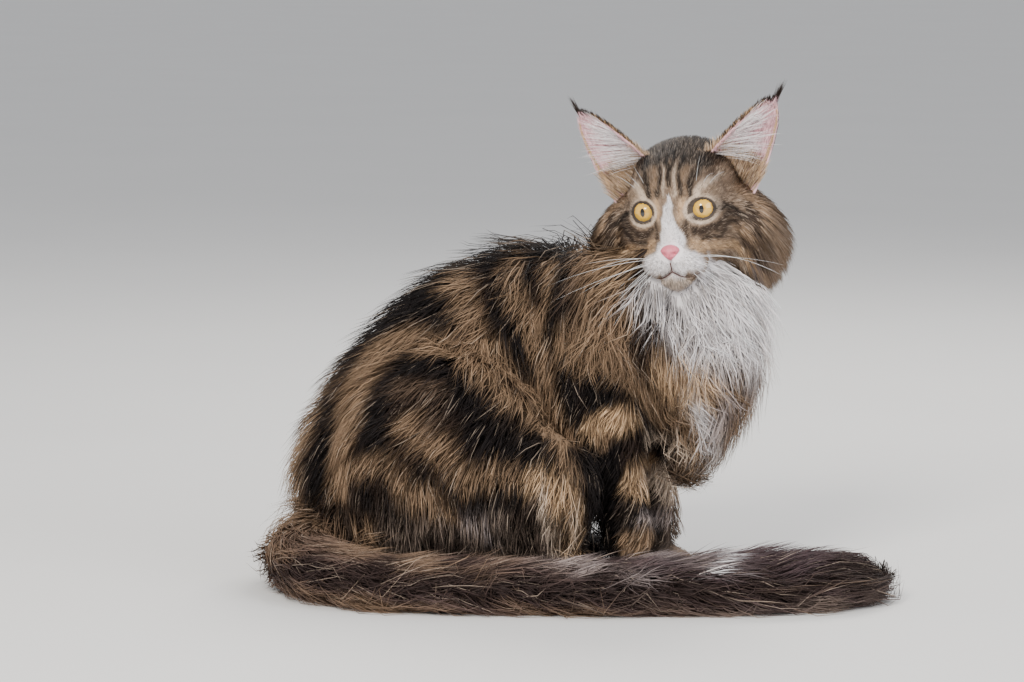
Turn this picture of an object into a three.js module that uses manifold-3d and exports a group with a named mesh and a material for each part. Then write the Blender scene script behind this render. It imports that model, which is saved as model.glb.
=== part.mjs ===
// A maine coon cat at life size, sitting on its haunches with its head turned to its right and its
// bushy tail laid round its right side to the front.
// Millimetres, +Z up. The chest faces -Y, the cat's right side is -X, and the origin is on the floor
// under the middle of the whole.
import * as THREE from "three";
import { mergeVertices } from "three/addons/utils/BufferGeometryUtils.js";
import Module from "manifold-3d";

const wasm = await Module();
wasm.setup();

const V = (x, y, z) => new THREE.Vector3(x, y, z);
const UP = V(0, 0, 1);
const DOWN = V(0, 0, -1);
const LEFT = V(1, 0, 0);
const SEED = 36;
const deg = THREE.MathUtils.degToRad;

// Driving dimensions
const GAP = 0.3; // between neighbours that touch
const COAT = { face: 2.5, neck: 34, back: 24, haunch: 22, foreleg: 10, tail: 26 }; // depth of the coat
const CORE_SHARE = 0.5; // how far the core of a coated node fills its coat

// Colours read off the coat, eyes and skin
const COLOURS = {
  brown: 0x6e5238,
  dark: 0x2a211c,
  cream: 0xd9cdbd,
  tail: 0x4d4038,
  ear: 0xcfae9c,
  eye: 0xc9a23a,
  nose: 0xc9707a,
};

// The trunk's sections from rump to chest: the middle of each, its half width and its half depth
const TRUNK = [
  { at: V(2, 240, 60), wide: 42, deep: 36 },
  { at: V(4, 218, 98), wide: 58, deep: 58 },
  { at: V(8, 180, 140), wide: 66, deep: 70 },
  { at: V(10, 130, 178), wide: 64, deep: 80 },
  { at: V(8, 78, 201), wide: 58, deep: 81 },
  { at: V(-2, 26, 206), wide: 54, deep: 74 },
  { at: V(-20, -18, 196), wide: 48, deep: 60 },
  { at: V(-40, -50, 184), wide: 34, deep: 42 },
];

// The neck, from between the shoulders to the back of the skull, and the bib below the chin
const NECK = [
  { at: V(-8, 26, 212), wide: 46, deep: 50 },
  { at: V(-18, -12, 242), wide: 48, deep: 50 },
  { at: V(-26, -38, 274), wide: 53, deep: 46 },
  { at: V(-29, -44, 308), wide: 44, deep: 38 },
];
const BIB = [
  { at: V(-30, -48, 285), wide: 40, deep: 36 },
  { at: V(-42, -62, 245), wide: 42, deep: 32 },
  { at: V(-48, -68, 200), wide: 36, deep: 24 },
  { at: V(-46, -62, 152), wide: 26, deep: 15 },
  { at: V(-38, -46, 112), wide: 15, deep: 8 },
];

// Where the chest and the pelvis stand and how far each is turned to the cat's right
const CHEST = { at: V(-12, -10, 0), turn: deg(25) };
const BIB_ACROSS = V(Math.cos(CHEST.turn), -Math.sin(CHEST.turn), 0);
const BIB_SHARE = 0.85; // of the neck's coat that the bib has
const PELVIS = { at: V(5, 0, 0), turn: 0 };

// A foreleg in the chest's frame, given for the left side: shoulder, elbow, forearm and wrist
const FORELEG = [
  { at: V(36, 22, 215), wide: 16, deep: 26 },
  { at: V(43, 20, 180), wide: 22, deep: 36 },
  { at: V(45, 20, 142), wide: 22, deep: 33 },
  { at: V(41, 17, 112), wide: 19, deep: 25 },
  { at: V(34, 8, 78), wide: 16, deep: 19 },
  { at: V(29, 2, 44), wide: 14, deep: 16 },
  { at: V(28, 1, 16), wide: 14, deep: 17 },
];
const PAW = { length: 50, width: 36, height: 27, toe: 9 };
const FORE_PAW = V(28, -6, 0);
const HIND_PAW = V(66, 44, 0);

// The tail's middle line, its half width and its half height
const TAIL = [
  { at: V(0, 256, 44), wide: 20, deep: 20 },
  { at: V(-26, 276, 34), wide: 24, deep: 17 },
  { at: V(-76, 278, 27), wide: 28, deep: 15 },
  { at: V(-126, 246, 23), wide: 31, deep: 14 },
  { at: V(-156, 182, 20), wide: 33, deep: 14 },
  { at: V(-165, 94, 20), wide: 34, deep: 14 },
  { at: V(-164, 0, 20), wide: 36, deep: 15 },
  { at: V(-157, -84, 21), wide: 38, deep: 17 },
  { at: V(-143, -148, 21), wide: 34, deep: 17 },
  { at: V(-126, -186, 19), wide: 20, deep: 13 },
];
const TAIL_JOINTS = [0, 0.28, 0.52, 0.76, 1];

// The head's own frame: forward along its face, left and up, from the middle of the skull
const HEAD = { at: V(-32, -43, 324), turn: deg(105.5), pitch: deg(-1.5), roll: deg(5) };
const EYE = { forward: 29.5, aside: 23.5, radius: 13.2, outward: deg(8) };
const LID = { thick: 1.6, width: 22, height: 19.5 };
const LID_HALF = V(1, 1, 1).multiplyScalar(EYE.radius + LID.thick);
const NOSE = { at: V(62.5, 0, -33), half: V(7.5, 8.6, 6.6) };
const EAR = { inner: V(4, 27, 43), outer: V(-8, 66, 15), tip: V(-8, 83, 78), cup: 20, thick: 2.4, bow: 0.5 };
const MOUTH = {
  line: [[0, -40], [0, -49.5], [7, -54], [14, -55.5], [21, -53]],
  width: 2.8,
  depth: 2.6,
  across: V(1, 0, 0.2),
};
const EAR_TUFT = { count: 2, length: 30, width: 6, thick: 3 };
const EAR_HAIR = { count: 4, length: 44, width: 8, thick: 2.6 };

// Soft masses of the skull, each a middle and half sizes in the head's frame; a twin lies on each side
const SKULL = [
  { at: V(-10, 0, 14), half: V(50, 44, 38) }, // cranium
  { at: V(20, 0, 14), half: V(31, 33, 26) }, // forehead
  { at: V(24, 0, -12), half: V(30, 27, 30) }, // face
  { at: V(41, 0, -15), half: V(20, 10, 20) }, // bridge of the nose
  { at: V(43, 0, -38), half: V(22, 18, 15) }, // muzzle
  { at: V(43, 0, -55), half: V(14, 12, 9) }, // chin
  { at: V(12, 0, -40), half: V(36, 28, 24) }, // jaw
  { at: V(6, 26, -16), half: V(36, 24, 31), twin: true }, // cheek
  { at: V(-12, 36, -22), half: V(30, 34, 36), twin: true }, // coat of the cheek
  { at: V(28, 24, 13), half: V(13, 14, 8), twin: true }, // brow
  { at: V(48, 13, -43), half: V(14, 14, 12), twin: true }, // whisker pad
];
const SKULL_BLEND = 9;

// Masses of a hind leg folded under the body, in the pelvis's frame and given for the left side
const HAUNCH = [
  { at: V(58, 160, 106), half: V(40, 84, 84) }, // thigh
  { at: V(66, 92, 84), half: V(32, 56, 56) }, // knee
  { at: V(66, 92, 15), half: V(20, 58, 19) }, // foot
];
const HAUNCH_BLEND = 22;
const HAUNCH_MIDDLE = V(62, 130, 72);

// Locks of each coated node: spacing of the roots, length, width, thickness, and the tips' height off the core
const LOCKS = {
  head: { spacing: 24, length: 42, width: 20, thick: 5, rise: 15 },
  neck: { spacing: 34, length: 86, width: 33, thick: 8, rise: 24 },
  foreleg: { spacing: 32, length: 52, width: 22, thick: 6, rise: 10 },
  hind_leg: { spacing: 41, length: 86, width: 39, thick: 8, rise: 14 },
  torso: { spacing: 42, length: 100, width: 43, thick: 9, rise: 18 },
  tail: { spacing: 40, length: 82, width: 34, thick: 8, rise: 10 },
};
const LOCK_STEPS = 3;
const LOCK_SINK = 6; // depth of a root below the core's surface
const LOCK_CURL = 0.45; // sideways bend, as a share of the forward step
const SHORTER = [1, 0.8, 0.6, 0.42]; // lengths tried for a lock that meets a neighbour
const FLOOR_CLEAR = 0.4;
const SHORTEST = 0.02; // edges under this length are closed up

// Head frame to world
function headMatrix() {
  const level = V(-Math.sin(HEAD.turn), -Math.cos(HEAD.turn), 0);
  const side = UP.clone().cross(level);
  const forward = level.clone().multiplyScalar(Math.cos(HEAD.pitch)).addScaledVector(UP, Math.sin(HEAD.pitch));
  const raised = forward.clone().cross(side);
  const left = side.clone().multiplyScalar(Math.cos(HEAD.roll)).addScaledVector(raised, Math.sin(HEAD.roll));
  const top = forward.clone().cross(left);
  return new THREE.Matrix4().makeBasis(forward, left, top).setPosition(HEAD.at);
}
const HEAD_TO_WORLD = headMatrix();

// Solids from geometry
function solidOf(geometry) {
  const bare = new THREE.BufferGeometry().setAttribute("position", geometry.getAttribute("position"));
  bare.setIndex(geometry.index);
  const merged = mergeVertices(bare, 1e-4);
  const mesh = new wasm.Mesh({
    numProp: 3,
    vertProperties: new Float32Array(merged.attributes.position.array),
    triVerts: new Uint32Array(merged.index.array),
  });
  const solid = new wasm.Manifold(mesh);
  if (solid.volume() > 0) return solid;
  const flipped = Uint32Array.from(mesh.triVerts);
  for (let i = 0; i < flipped.length; i += 3) [flipped[i + 1], flipped[i + 2]] = [flipped[i + 2], flipped[i + 1]];
  return new wasm.Manifold(new wasm.Mesh({ numProp: 3, vertProperties: mesh.vertProperties, triVerts: flipped }));
}

function geometryOf(solid) {
  const { numProp, numVert, vertProperties, triVerts } = solid.getMesh();
  const positions = new Float32Array(numVert * 3);
  for (let i = 0; i < numVert; i++) positions.set(vertProperties.subarray(i * numProp, i * numProp + 3), i * 3);
  const geometry = new THREE.BufferGeometry();
  geometry.setAttribute("position", new THREE.BufferAttribute(positions, 3));
  geometry.setIndex(new THREE.BufferAttribute(triVerts, 1));
  return geometry;
}

const largest = (solid) => solid.decompose().reduce((a, b) => (b.volume() > a.volume() ? b : a));
const joined = (solids) => wasm.Manifold.union(solids);
const cutBy = (solid, ...tools) => tools.reduce((left, tool) => left.subtract(tool), solid);

const onFloor = (solid) => solid.trimByPlane([0, 0, 1], 0);

// From the chest's or the pelvis's frame to the world, for the left side (1) or the right (-1)
function placed(solid, frame, side) {
  const sided = side === 1 ? solid : solid.mirror([1, 0, 0]);
  return sided.rotate([0, 0, -THREE.MathUtils.radToDeg(frame.turn)]).translate(frame.at.toArray());
}

function moveVertices(geometry, place) {
  const at = geometry.getAttribute("position");
  const point = V(0, 0, 0);
  for (let i = 0; i < at.count; i++) {
    point.fromBufferAttribute(at, i);
    const to = place(point);
    at.setXYZ(i, to.x, to.y, to.z);
  }
  return geometry;
}

// A limb through sections: a sphere's grid wrapped round a smooth line, with round or flat ends
function sectionAt(sections, share) {
  const last = sections.length - 1;
  const middle = new THREE.CatmullRomCurve3(sections.map((s) => s.at), false, "centripetal");
  const t = Math.min(Math.max(share, 0), 1);
  const i = Math.min(Math.floor(t * last), last - 1);
  const f = THREE.MathUtils.smoothstep(t * last - i, 0, 1);
  const tangent = middle.getTangent(t);
  return {
    middle: middle.getPoint(t),
    tangent,
    wide: THREE.MathUtils.lerp(sections[i].wide, sections[i + 1].wide, f),
    deep: THREE.MathUtils.lerp(sections[i].deep, sections[i + 1].deep, f),
  };
}

function limbFrame(section, across) {
  const side = across.clone().addScaledVector(section.tangent, -across.dot(section.tangent)).normalize();
  return { side, normal: section.tangent.clone().cross(side) };
}

// across is the direction of the half width; from and to are shares of the line; a round end closes over cap of it
function limb(
  sections,
  { around = 16, along = 14, across = LEFT, grow = 0, from = 0, to = 1, cap = 0.12, flatEnds = false },
) {
  const sphere = new THREE.SphereGeometry(1, around, along);
  return moveVertices(sphere, (p) => {
    const polar = Math.acos(THREE.MathUtils.clamp(p.y, -1, 1)) / Math.PI;
    const turn = Math.atan2(p.z, p.x);
    const onAxis = Math.abs(p.y) > 1 - 1e-6;
    const row = flatEnds ? THREE.MathUtils.clamp((polar * along - 1) / (along - 2), 0, 1) : polar;
    const share = from + (to - from) * row;
    const section = sectionAt(sections, share);
    const { side, normal } = limbFrame(section, typeof across === "function" ? across(section) : across);
    const rim = flatEnds ? 1 : Math.sqrt(Math.max(0, 1 - (1 - Math.min(1, Math.min(row, 1 - row) / cap)) ** 2));
    const size = onAxis ? 0 : rim;
    const lean = flatEnds ? 0 : grow * Math.sign(row - 0.5) * (1 - rim);
    return section.middle
      .clone()
      .addScaledVector(section.tangent, lean)
      .addScaledVector(side, Math.cos(turn) * (section.wide + grow) * size)
      .addScaledVector(normal, Math.sin(turn) * (section.deep + grow) * size);
  });
}

// Distance to an ellipsoid, and to soft masses that run into each other over a blend
function distanceTo(mass, p, mirror) {
  const q = V(p.x, p.y, p.z);
  if (mirror) q[mirror] *= -1;
  q.sub(mass.at);
  const near = q.clone().divide(mass.half).length();
  const slope = q.clone().divide(mass.half).divide(mass.half).length();
  return slope < 1e-9 ? -mass.half.x : (near * (near - 1)) / slope;
}

function distanceToMasses(masses, blend, p, mirror) {
  let nearest = Infinity;
  for (const mass of masses) {
    const sides = mass.twin ? [distanceTo(mass, p), distanceTo(mass, p, mirror)] : [distanceTo(mass, p)];
    for (const d of sides) {
      const h = Math.max(blend - Math.abs(nearest - d), 0) / blend;
      nearest = nearest === Infinity ? d : Math.min(nearest, d) - (h * h * blend) / 4;
    }
  }
  return nearest;
}

// The skin of soft masses, met along rays that come in to a middle point
function skinOnRay(masses, blend, middle, ray, grow = 0, mirror = "y") {
  let reach = 190;
  for (let i = 0; i < 60; i++) {
    const p = middle.clone().addScaledVector(ray, reach);
    const d = distanceToMasses(masses, blend, p, mirror) - grow;
    if (d < 0.02) break;
    reach -= d * 0.8;
  }
  return middle.clone().addScaledVector(ray, reach);
}

function skin(masses, blend, middle, detail, grow = 0) {
  return moveVertices(new THREE.IcosahedronGeometry(1, detail), (p) =>
    skinOnRay(masses, blend, middle, p.clone().normalize(), grow),
  );
}

function ellipsoid(at, half, around = 14, rows = 10) {
  return moveVertices(new THREE.SphereGeometry(1, around, rows), (p) => p.clone().multiply(half).add(at));
}

// A random number in 0 to 1 that comes out the same each time
function seeded(seed) {
  let state = seed;
  return () => {
    state = (state * 1664525 + 1013904223) >>> 0;
    return state / 4294967296;
  };
}

// The points of a solid's surface with their outward normals
function surfaceOf(solid) {
  const geometry = geometryOf(solid);
  geometry.computeVertexNormals();
  const { position, normal } = geometry.attributes;
  return Array.from({ length: position.count }, (_, i) => ({
    at: V(0, 0, 0).fromBufferAttribute(position, i),
    normal: V(0, 0, 0).fromBufferAttribute(normal, i),
  }));
}

function nearestOn(surface, p) {
  let best = surface[0];
  let reach = Infinity;
  for (const vertex of surface) {
    const d = vertex.at.distanceToSquared(p);
    if (d < reach) [best, reach] = [vertex, d];
  }
  return best;
}

// The normal near a point and that point moved to a height over the surface
function settle(surface, p, height) {
  const { at, normal } = nearestOn(surface, p);
  const over = p.clone().sub(at).dot(normal);
  const to = p.clone().addScaledVector(normal, height - over);
  to.z = Math.max(to.z, FLOOR_CLEAR);
  return { at: to, normal };
}

// Roots spread evenly over a solid's surface, each at least a spacing from the rest
function rootsOn(solid, spacing, random, grows) {
  const { position } = geometryOf(solid).attributes;
  const index = geometryOf(solid).index;
  const corners = [0, 1, 2].map(() => V(0, 0, 0));
  const faces = [];
  let area = 0;
  for (let i = 0; i < index.count; i += 3) {
    corners.forEach((c, k) => c.fromBufferAttribute(position, index.getX(i + k)));
    const cross = corners[1].clone().sub(corners[0]).cross(corners[2].clone().sub(corners[0]));
    area += cross.length() / 2;
    faces.push({ corners: corners.map((c) => c.clone()), normal: cross.normalize(), upTo: area });
  }
  const roots = [];
  const tries = Math.ceil((area / spacing ** 2) * 40);
  for (let i = 0; i < tries; i++) {
    const share = random() * area;
    const face = faces.find((f) => f.upTo >= share);
    let [a, b] = [random(), random()];
    if (a + b > 1) [a, b] = [1 - a, 1 - b];
    const at = face.corners[0].clone().multiplyScalar(1 - a - b);
    at.addScaledVector(face.corners[1], a).addScaledVector(face.corners[2], b);
    if (!grows(at, face.normal)) continue;
    if (roots.every((r) => r.at.distanceTo(at) > spacing)) roots.push({ at, normal: face.normal });
  }
  return roots;
}

// A lock of hair: a flat tapered blade with a ridge, that leaves its root and follows the coat's lie to a point
const BLADE_WIDTH = [0.65, 1, 0.66];
const BLADE_THICK = [1, 1, 0.7];

function lockSolid(path, width, thick, grow = 0) {
  const positions = [];
  path.slice(0, LOCK_STEPS).forEach(({ at, normal }, i) => {
    const ahead = path[i + 1].at.clone().sub(path[Math.max(i - 1, 0)].at).normalize();
    const side = ahead.clone().cross(normal).normalize();
    const w = (width / 2) * BLADE_WIDTH[i] + grow;
    const t = thick * BLADE_THICK[i] + grow;
    positions.push(at.clone().addScaledVector(side, w).addScaledVector(normal, -grow));
    positions.push(at.clone().addScaledVector(normal, t));
    positions.push(at.clone().addScaledVector(side, -w).addScaledVector(normal, -grow));
  });
  positions.push(path[LOCK_STEPS].at.clone().addScaledVector(path[LOCK_STEPS].normal, grow));
  const faces = [0, 1, 2];
  for (let i = 0; i < LOCK_STEPS - 1; i++) {
    for (let k = 0; k < 3; k++) {
      const [a, b] = [i * 3 + k, i * 3 + ((k + 1) % 3)];
      faces.push(a, a + 3, b, b, a + 3, b + 3);
    }
  }
  const end = (LOCK_STEPS - 1) * 3;
  for (let k = 0; k < 3; k++) faces.push(end + k, end + 3, end + ((k + 1) % 3));
  const geometry = new THREE.BufferGeometry().setFromPoints(positions);
  geometry.setIndex(faces);
  return solidOf(geometry);
}

function lockPath(surface, root, lie, length, rise, curl) {
  const start = root.at.clone().addScaledVector(root.normal, -LOCK_SINK);
  const path = [{ at: start, normal: root.normal }];
  let here = root;
  for (let i = 1; i <= LOCK_STEPS; i++) {
    const along = lie(here.at, here.normal);
    along.addScaledVector(here.normal, -along.dot(here.normal)).normalize();
    along.addScaledVector(along.clone().cross(here.normal), (curl * i) / LOCK_STEPS).normalize();
    const next = here.at.clone().addScaledVector(along, length / LOCK_STEPS);
    here = settle(surface, next, rise * (i / LOCK_STEPS) ** 0.8);
    path.push(here);
  }
  path[0].at.addScaledVector(path[1].at.clone().sub(path[0].at), 0.15);
  return path;
}

// The locks of a node that stay clear of every other solid
function locksOn(core, form, others, surface, seed, lie, grows) {
  const random = seeded(seed);
  const blades = [];
  for (const root of rootsOn(core, form.spacing, random, grows)) {
    const curl = (random() - 0.5) * 2 * LOCK_CURL;
    const vary = 0.85 + 0.3 * random();
    for (const share of SHORTER) {
      const path = lockPath(surface, root, lie, form.length * share * vary, form.rise * share * vary, curl);
      const wide = form.width * (0.6 + 0.4 * share);
      const room = lockSolid(path, wide, form.thick, GAP);
      if (others.some((other) => !room.intersect(other).isEmpty())) continue;
      blades.push(lockSolid(path, wide, form.thick));
      break;
    }
  }
  return blades;
}

// Trunk and neck
const TRUNK_FORM = { around: 18, along: 12, cap: 0.1 };
const levelAcross = (section) => section.tangent.clone().cross(UP).normalize();
const trunkSolid = (grow) => solidOf(limb(TRUNK, { ...TRUNK_FORM, across: levelAcross, grow }));
const neckSolid = (grow) =>
  joined([
    solidOf(limb(NECK, { around: 16, along: 8, across: levelAcross, cap: 0.3, grow })),
    solidOf(limb(BIB, { around: 12, along: 8, across: BIB_ACROSS, cap: 0.2, grow: grow * BIB_SHARE })),
  ]);

// Head, in its own frame until placed
const HEAD_MIDDLE = V(8, 0, -8);
const inHead = (solid) => solid.transform(HEAD_TO_WORLD.toArray());
const skullSolid = (grow) => solidOf(skin(SKULL, SKULL_BLEND, HEAD_MIDDLE, 5, COAT.face + grow));

function eyeFrame(side) {
  const gaze = V(Math.cos(EYE.outward), side * Math.sin(EYE.outward), 0);
  const turn = new THREE.Quaternion().setFromUnitVectors(V(1, 0, 0), gaze);
  return { middle: V(EYE.forward, side * EYE.aside, 0), turn };
}

function eyeSolid(side, grow = 0) {
  const { middle } = eyeFrame(side);
  return solidOf(ellipsoid(middle, V(1, 1, 1).multiplyScalar(EYE.radius + grow), 14, 9));
}

// The opening between the lids: an almond with its inner corner drawn down towards the nose
function lidOpening(side) {
  const { middle, turn } = eyeFrame(side);
  const w = LID.width / 2;
  const h = LID.height / 2;
  const almond = new THREE.Shape();
  almond.moveTo(-w - 1, -3.2);
  almond.bezierCurveTo(-w, h * 0.7, -w * 0.5, h, 0.5, h);
  almond.bezierCurveTo(w * 0.6, h, w, h * 0.5, w + 0.3, 1.5);
  almond.bezierCurveTo(w * 0.9, -h * 0.7, w * 0.3, -h, 0, -h);
  almond.bezierCurveTo(-w * 0.5, -h, -w * 0.8, -h * 0.7, -w - 1, -3.2);
  const bar = new THREE.ExtrudeGeometry(almond, { depth: 26, bevelEnabled: false, curveSegments: 5 });
  return solidOf(
    moveVertices(bar, (p) => V(p.z, side * p.x, p.y).applyQuaternion(turn).add(middle)),
  );
}

// The leather of the nose: wide on top, drawn in below, with a comma of a nostril on each side
function noseSolid(grow = 0) {
  const form = moveVertices(new THREE.SphereGeometry(1, 12, 8), (p) => {
    const drawn = 0.66 + 0.34 * THREE.MathUtils.clamp(p.z + 0.4, -0.7, 0.7) / 0.7;
    return V(p.x, p.y * drawn, p.z).multiply(NOSE.half.clone().addScalar(grow)).add(NOSE.at);
  });
  return solidOf(form);
}

function nostril(side) {
  return solidOf(ellipsoid(NOSE.at.clone().add(V(6.2, side * 4.6, -0.6)), V(3, 1.6, 1.5), 8, 6));
}

// The line of the mouth: down from the nose and out along each lip, laid on the skin
function mouthLine(side) {
  const points = MOUTH.line.map(([aside, up]) => {
    const q = V(90, aside * side, up);
    for (let i = 0; i < 50; i++) q.x -= Math.max(0, distanceToMasses(SKULL, SKULL_BLEND, q, "y")) * 0.8;
    return q;
  });
  const groove = points.map((at) => ({ at, wide: MOUTH.width / 2, deep: MOUTH.depth }));
  return solidOf(limb(groove, { around: 6, along: 16, across: MOUTH.across, cap: 0.08 }));
}

// A point of the left ear: up the leaf from root (0) to tip (1), across it (-1 to 1) and through it (0 to 1)
function earPoint(t, s, through) {
  const across = EAR.outer.clone().sub(EAR.inner).multiplyScalar(0.5);
  const open = Math.max(0.05, (1 - Math.max(t, -0.2)) ** EAR.bow * (1 + 0.1 * t));
  const cup = EAR.cup * Math.max(0.04, (1 - t) ** 0.9);
  const thick = EAR.thick * (1.15 - 0.45 * Math.max(0, t)) * (1 - 0.45 * s * s);
  const at = EAR.inner.clone().lerp(EAR.outer, 0.5).lerp(EAR.tip, t).addScaledVector(across, s * open);
  at.x -= cup * (1 - s * s) - through * thick;
  return at;
}

// A straight lock from a point, with its ridge to the front
function wisp(at, way, form) {
  const ahead = way.clone().normalize().multiplyScalar(form.length / LOCK_STEPS);
  const path = Array.from({ length: LOCK_STEPS + 1 }, (_, i) => ({
    at: at.clone().addScaledVector(ahead, i),
    normal: V(1, 0, 0),
  }));
  return lockSolid(path, form.width, form.thick);
}

// An ear: a cupped leaf, thick at its root and thin at its rim, with hair across its mouth and a tuft on its tip
function earSolid(side) {
  const leaf = moveVertices(new THREE.BoxGeometry(2, 1, 1, 7, 6, 1), (p) =>
    earPoint((p.y + 0.5) * 1.22 - 0.22, p.x, p.z + 0.5),
  );
  const pieces = [solidOf(leaf)];
  for (let i = 0; i < EAR_TUFT.count; i++) {
    const s = i - (EAR_TUFT.count - 1) / 2;
    pieces.push(wisp(earPoint(0.9, 0, 0), V(-0.1 * s, 0.1 + 0.22 * s, 1), EAR_TUFT));
  }
  for (let i = 0; i < EAR_HAIR.count; i++) {
    const t = (i + 0.5) / EAR_HAIR.count;
    pieces.push(wisp(earPoint(0.02 + 0.62 * t, -0.86 + 0.1 * t, 0), V(0.3, 1 - 0.5 * t, 0.15 + 1.1 * t), {
      ...EAR_HAIR,
      length: EAR_HAIR.length * (1 - 0.45 * t),
    }));
  }
  const ear = joined(pieces);
  return side === 1 ? ear : ear.mirror([0, 1, 0]);
}

// Forelegs and paws, made for the left side
function paw(at, grow = 0) {
  const half = V(PAW.width / 2, PAW.length / 2, PAW.height / 2).addScalar(grow);
  const pieces = [solidOf(ellipsoid(V(at.x, at.y, PAW.height * 0.42), half, 10, 7))];
  for (let i = 0; i < 4; i++) {
    const s = i - 1.5;
    const toe = V(at.x + s * PAW.width * 0.235, at.y - PAW.length * (0.37 - 0.045 * s * s), PAW.toe * 0.85);
    pieces.push(solidOf(ellipsoid(toe, V(PAW.toe * 0.72, PAW.toe * 1.15, PAW.toe).addScalar(grow), 8, 6)));
  }
  return joined(pieces);
}

function forelegSolid(grow) {
  const leg = solidOf(limb(FORELEG, { around: 10, along: 9, across: LEFT, cap: 0.1, grow }));
  return joined([leg, paw(FORE_PAW, Math.min(grow, 3))]);
}

function haunchSolid(grow) {
  const thigh = solidOf(skin(HAUNCH, HAUNCH_BLEND, HAUNCH_MIDDLE, 3, grow));
  return joined([thigh, paw(HIND_PAW, Math.min(grow, 3))]);
}

// Tail: four lengths, each a limb with flat ends half a gap short of its joint
function tailSolid(i, grow) {
  const length = new THREE.CatmullRomCurve3(TAIL.map((s) => s.at), false, "centripetal").getLength();
  const inset = GAP / 2 / length;
  const from = TAIL_JOINTS[i] + inset;
  const to = TAIL_JOINTS[i + 1] - inset;
  const last = i === TAIL_JOINTS.length - 2;
  const body = solidOf(limb(TAIL, { around: 14, along: 9, across: levelAcross, grow, from, to, flatEnds: true }));
  if (!last) return body;
  const end = TAIL.at(-1);
  const half = V(end.wide + grow, end.wide + grow, end.deep + grow);
  return joined([body, solidOf(ellipsoid(end.at, half, 10, 8))]);
}

// Cores of the coated nodes, each cut clear of the neighbours that it meets
const core = (depth) => depth * CORE_SHARE;
const eyes = [1, -1].map((side) => eyeSolid(side));
const lids = [1, -1].map((side) => solidOf(ellipsoid(eyeFrame(side).middle, LID_HALF, 14, 9)));
const sockets = [1, -1].flatMap((side) => [eyeSolid(side, GAP), lidOpening(side)]);
const mouth = [mouthLine(1), mouthLine(-1)];
const face = inHead(cutBy(joined([skullSolid(0), ...lids]), ...sockets, ...mouth, noseSolid(GAP)));
const skullGrown = inHead(skullSolid(GAP));
const neckGrown = neckSolid(core(COAT.neck) + GAP);
const trunkGrown = trunkSolid(core(COAT.back) + GAP);

const legs = [1, -1].flatMap((side) => {
  const name = side === 1 ? "left" : "right";
  const foreleg = placed(forelegSolid(core(COAT.foreleg)), CHEST, side);
  const forelegGrown = placed(forelegSolid(core(COAT.foreleg) + GAP), CHEST, side);
  const haunch = placed(haunchSolid(core(COAT.haunch)), PELVIS, side);
  return [
    {
      name: `foreleg_${name}`,
      solid: cutBy(foreleg, trunkGrown, neckGrown, skullGrown),
      grown: forelegGrown,
    },
    {
      name: `hind_leg_${name}`,
      solid: cutBy(haunch, trunkGrown, neckGrown, forelegGrown),
      grown: placed(haunchSolid(core(COAT.haunch) + GAP), PELVIS, side),
    },
  ];
});
const tails = TAIL_JOINTS.slice(1).map((_, i) => ({
  name: `tail_${i + 1}`,
  solid: cutBy(tailSolid(i, core(COAT.tail)), trunkGrown, ...legs.map((leg) => leg.grown)),
}));
const coated = [
  { name: "head", solid: face },
  { name: "neck", solid: cutBy(neckSolid(core(COAT.neck)), skullGrown) },
  ...legs,
  { name: "torso", solid: cutBy(trunkSolid(core(COAT.back)), skullGrown, neckGrown) },
  ...tails,
].map(({ name, solid }) => ({ name, solid: largest(onFloor(solid)) }));

// How the coat lies at a point, and where locks grow
const HEAD_FORWARD = V(1, 0, 0).transformDirection(HEAD_TO_WORLD);
const NOSE_TIP = NOSE.at.clone().applyMatrix4(HEAD_TO_WORLD);
const WITHERS = V(-4, 40, 320);
const fromPoint = (p, q, fall) => p.clone().sub(q).normalize().addScaledVector(DOWN, fall);
const tailLine = new THREE.CatmullRomCurve3(TAIL.map((s) => s.at), false, "centripetal").getSpacedPoints(60);

function alongTail(p) {
  let nearest = 0;
  tailLine.forEach((q, i) => {
    if (q.distanceToSquared(p) < tailLine[nearest].distanceToSquared(p)) nearest = i;
  });
  const i = Math.min(nearest, tailLine.length - 2);
  return tailLine[i + 1].clone().sub(tailLine[i]).normalize();
}

const LIE = {
  head: (p) => fromPoint(p, NOSE_TIP, 0.5),
  neck: (p) => fromPoint(p, NOSE_TIP, 1.1).setZ(-1),
  foreleg: () => V(0, 0.35, -1),
  hind_leg: (p) => V(0, p.z > 110 ? 0.9 : 0.1, -1),
  torso: (p) => fromPoint(p, WITHERS, 0.4),
  tail: (p, n) => alongTail(p).addScaledVector(n, 0.2),
};
const behindFace = (p) => p.clone().sub(HEAD.at).dot(HEAD_FORWARD) < 12 && p.z < HEAD.at.z + 8;
const GROWS = {
  head: (p) => behindFace(p),
  neck: () => true,
  foreleg: (p) => p.z > 60,
  hind_leg: (p) => p.z > 34,
  torso: (p, n) => n.z > -0.6,
  tail: (p, n) => p.z > 9 && n.z > -0.5,
};

const nodes = [];
function add(name, solid, colour, roughness = 0.85) {
  nodes.push({ name, solid: largest(solid.simplify(SHORTEST)), colour, roughness });
}
const COAT_COLOURS = { neck: COLOURS.cream, tail: COLOURS.tail };

const body = surfaceOf(joined(coated.map((node) => node.solid)));
const plain = [
  ["nose", inHead(cutBy(noseSolid(), nostril(1), nostril(-1))), COLOURS.nose, 0.5],
  ...[1, -1].flatMap((side, i) => {
    const name = side === 1 ? "left" : "right";
    return [
      [`eye_${name}`, inHead(eyes[i]), COLOURS.eye, 0.1],
      [`ear_${name}`, cutBy(inHead(earSolid(side)), skullGrown), COLOURS.ear],
    ];
  }),
];
plain.forEach((node) => add(...node));

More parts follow.
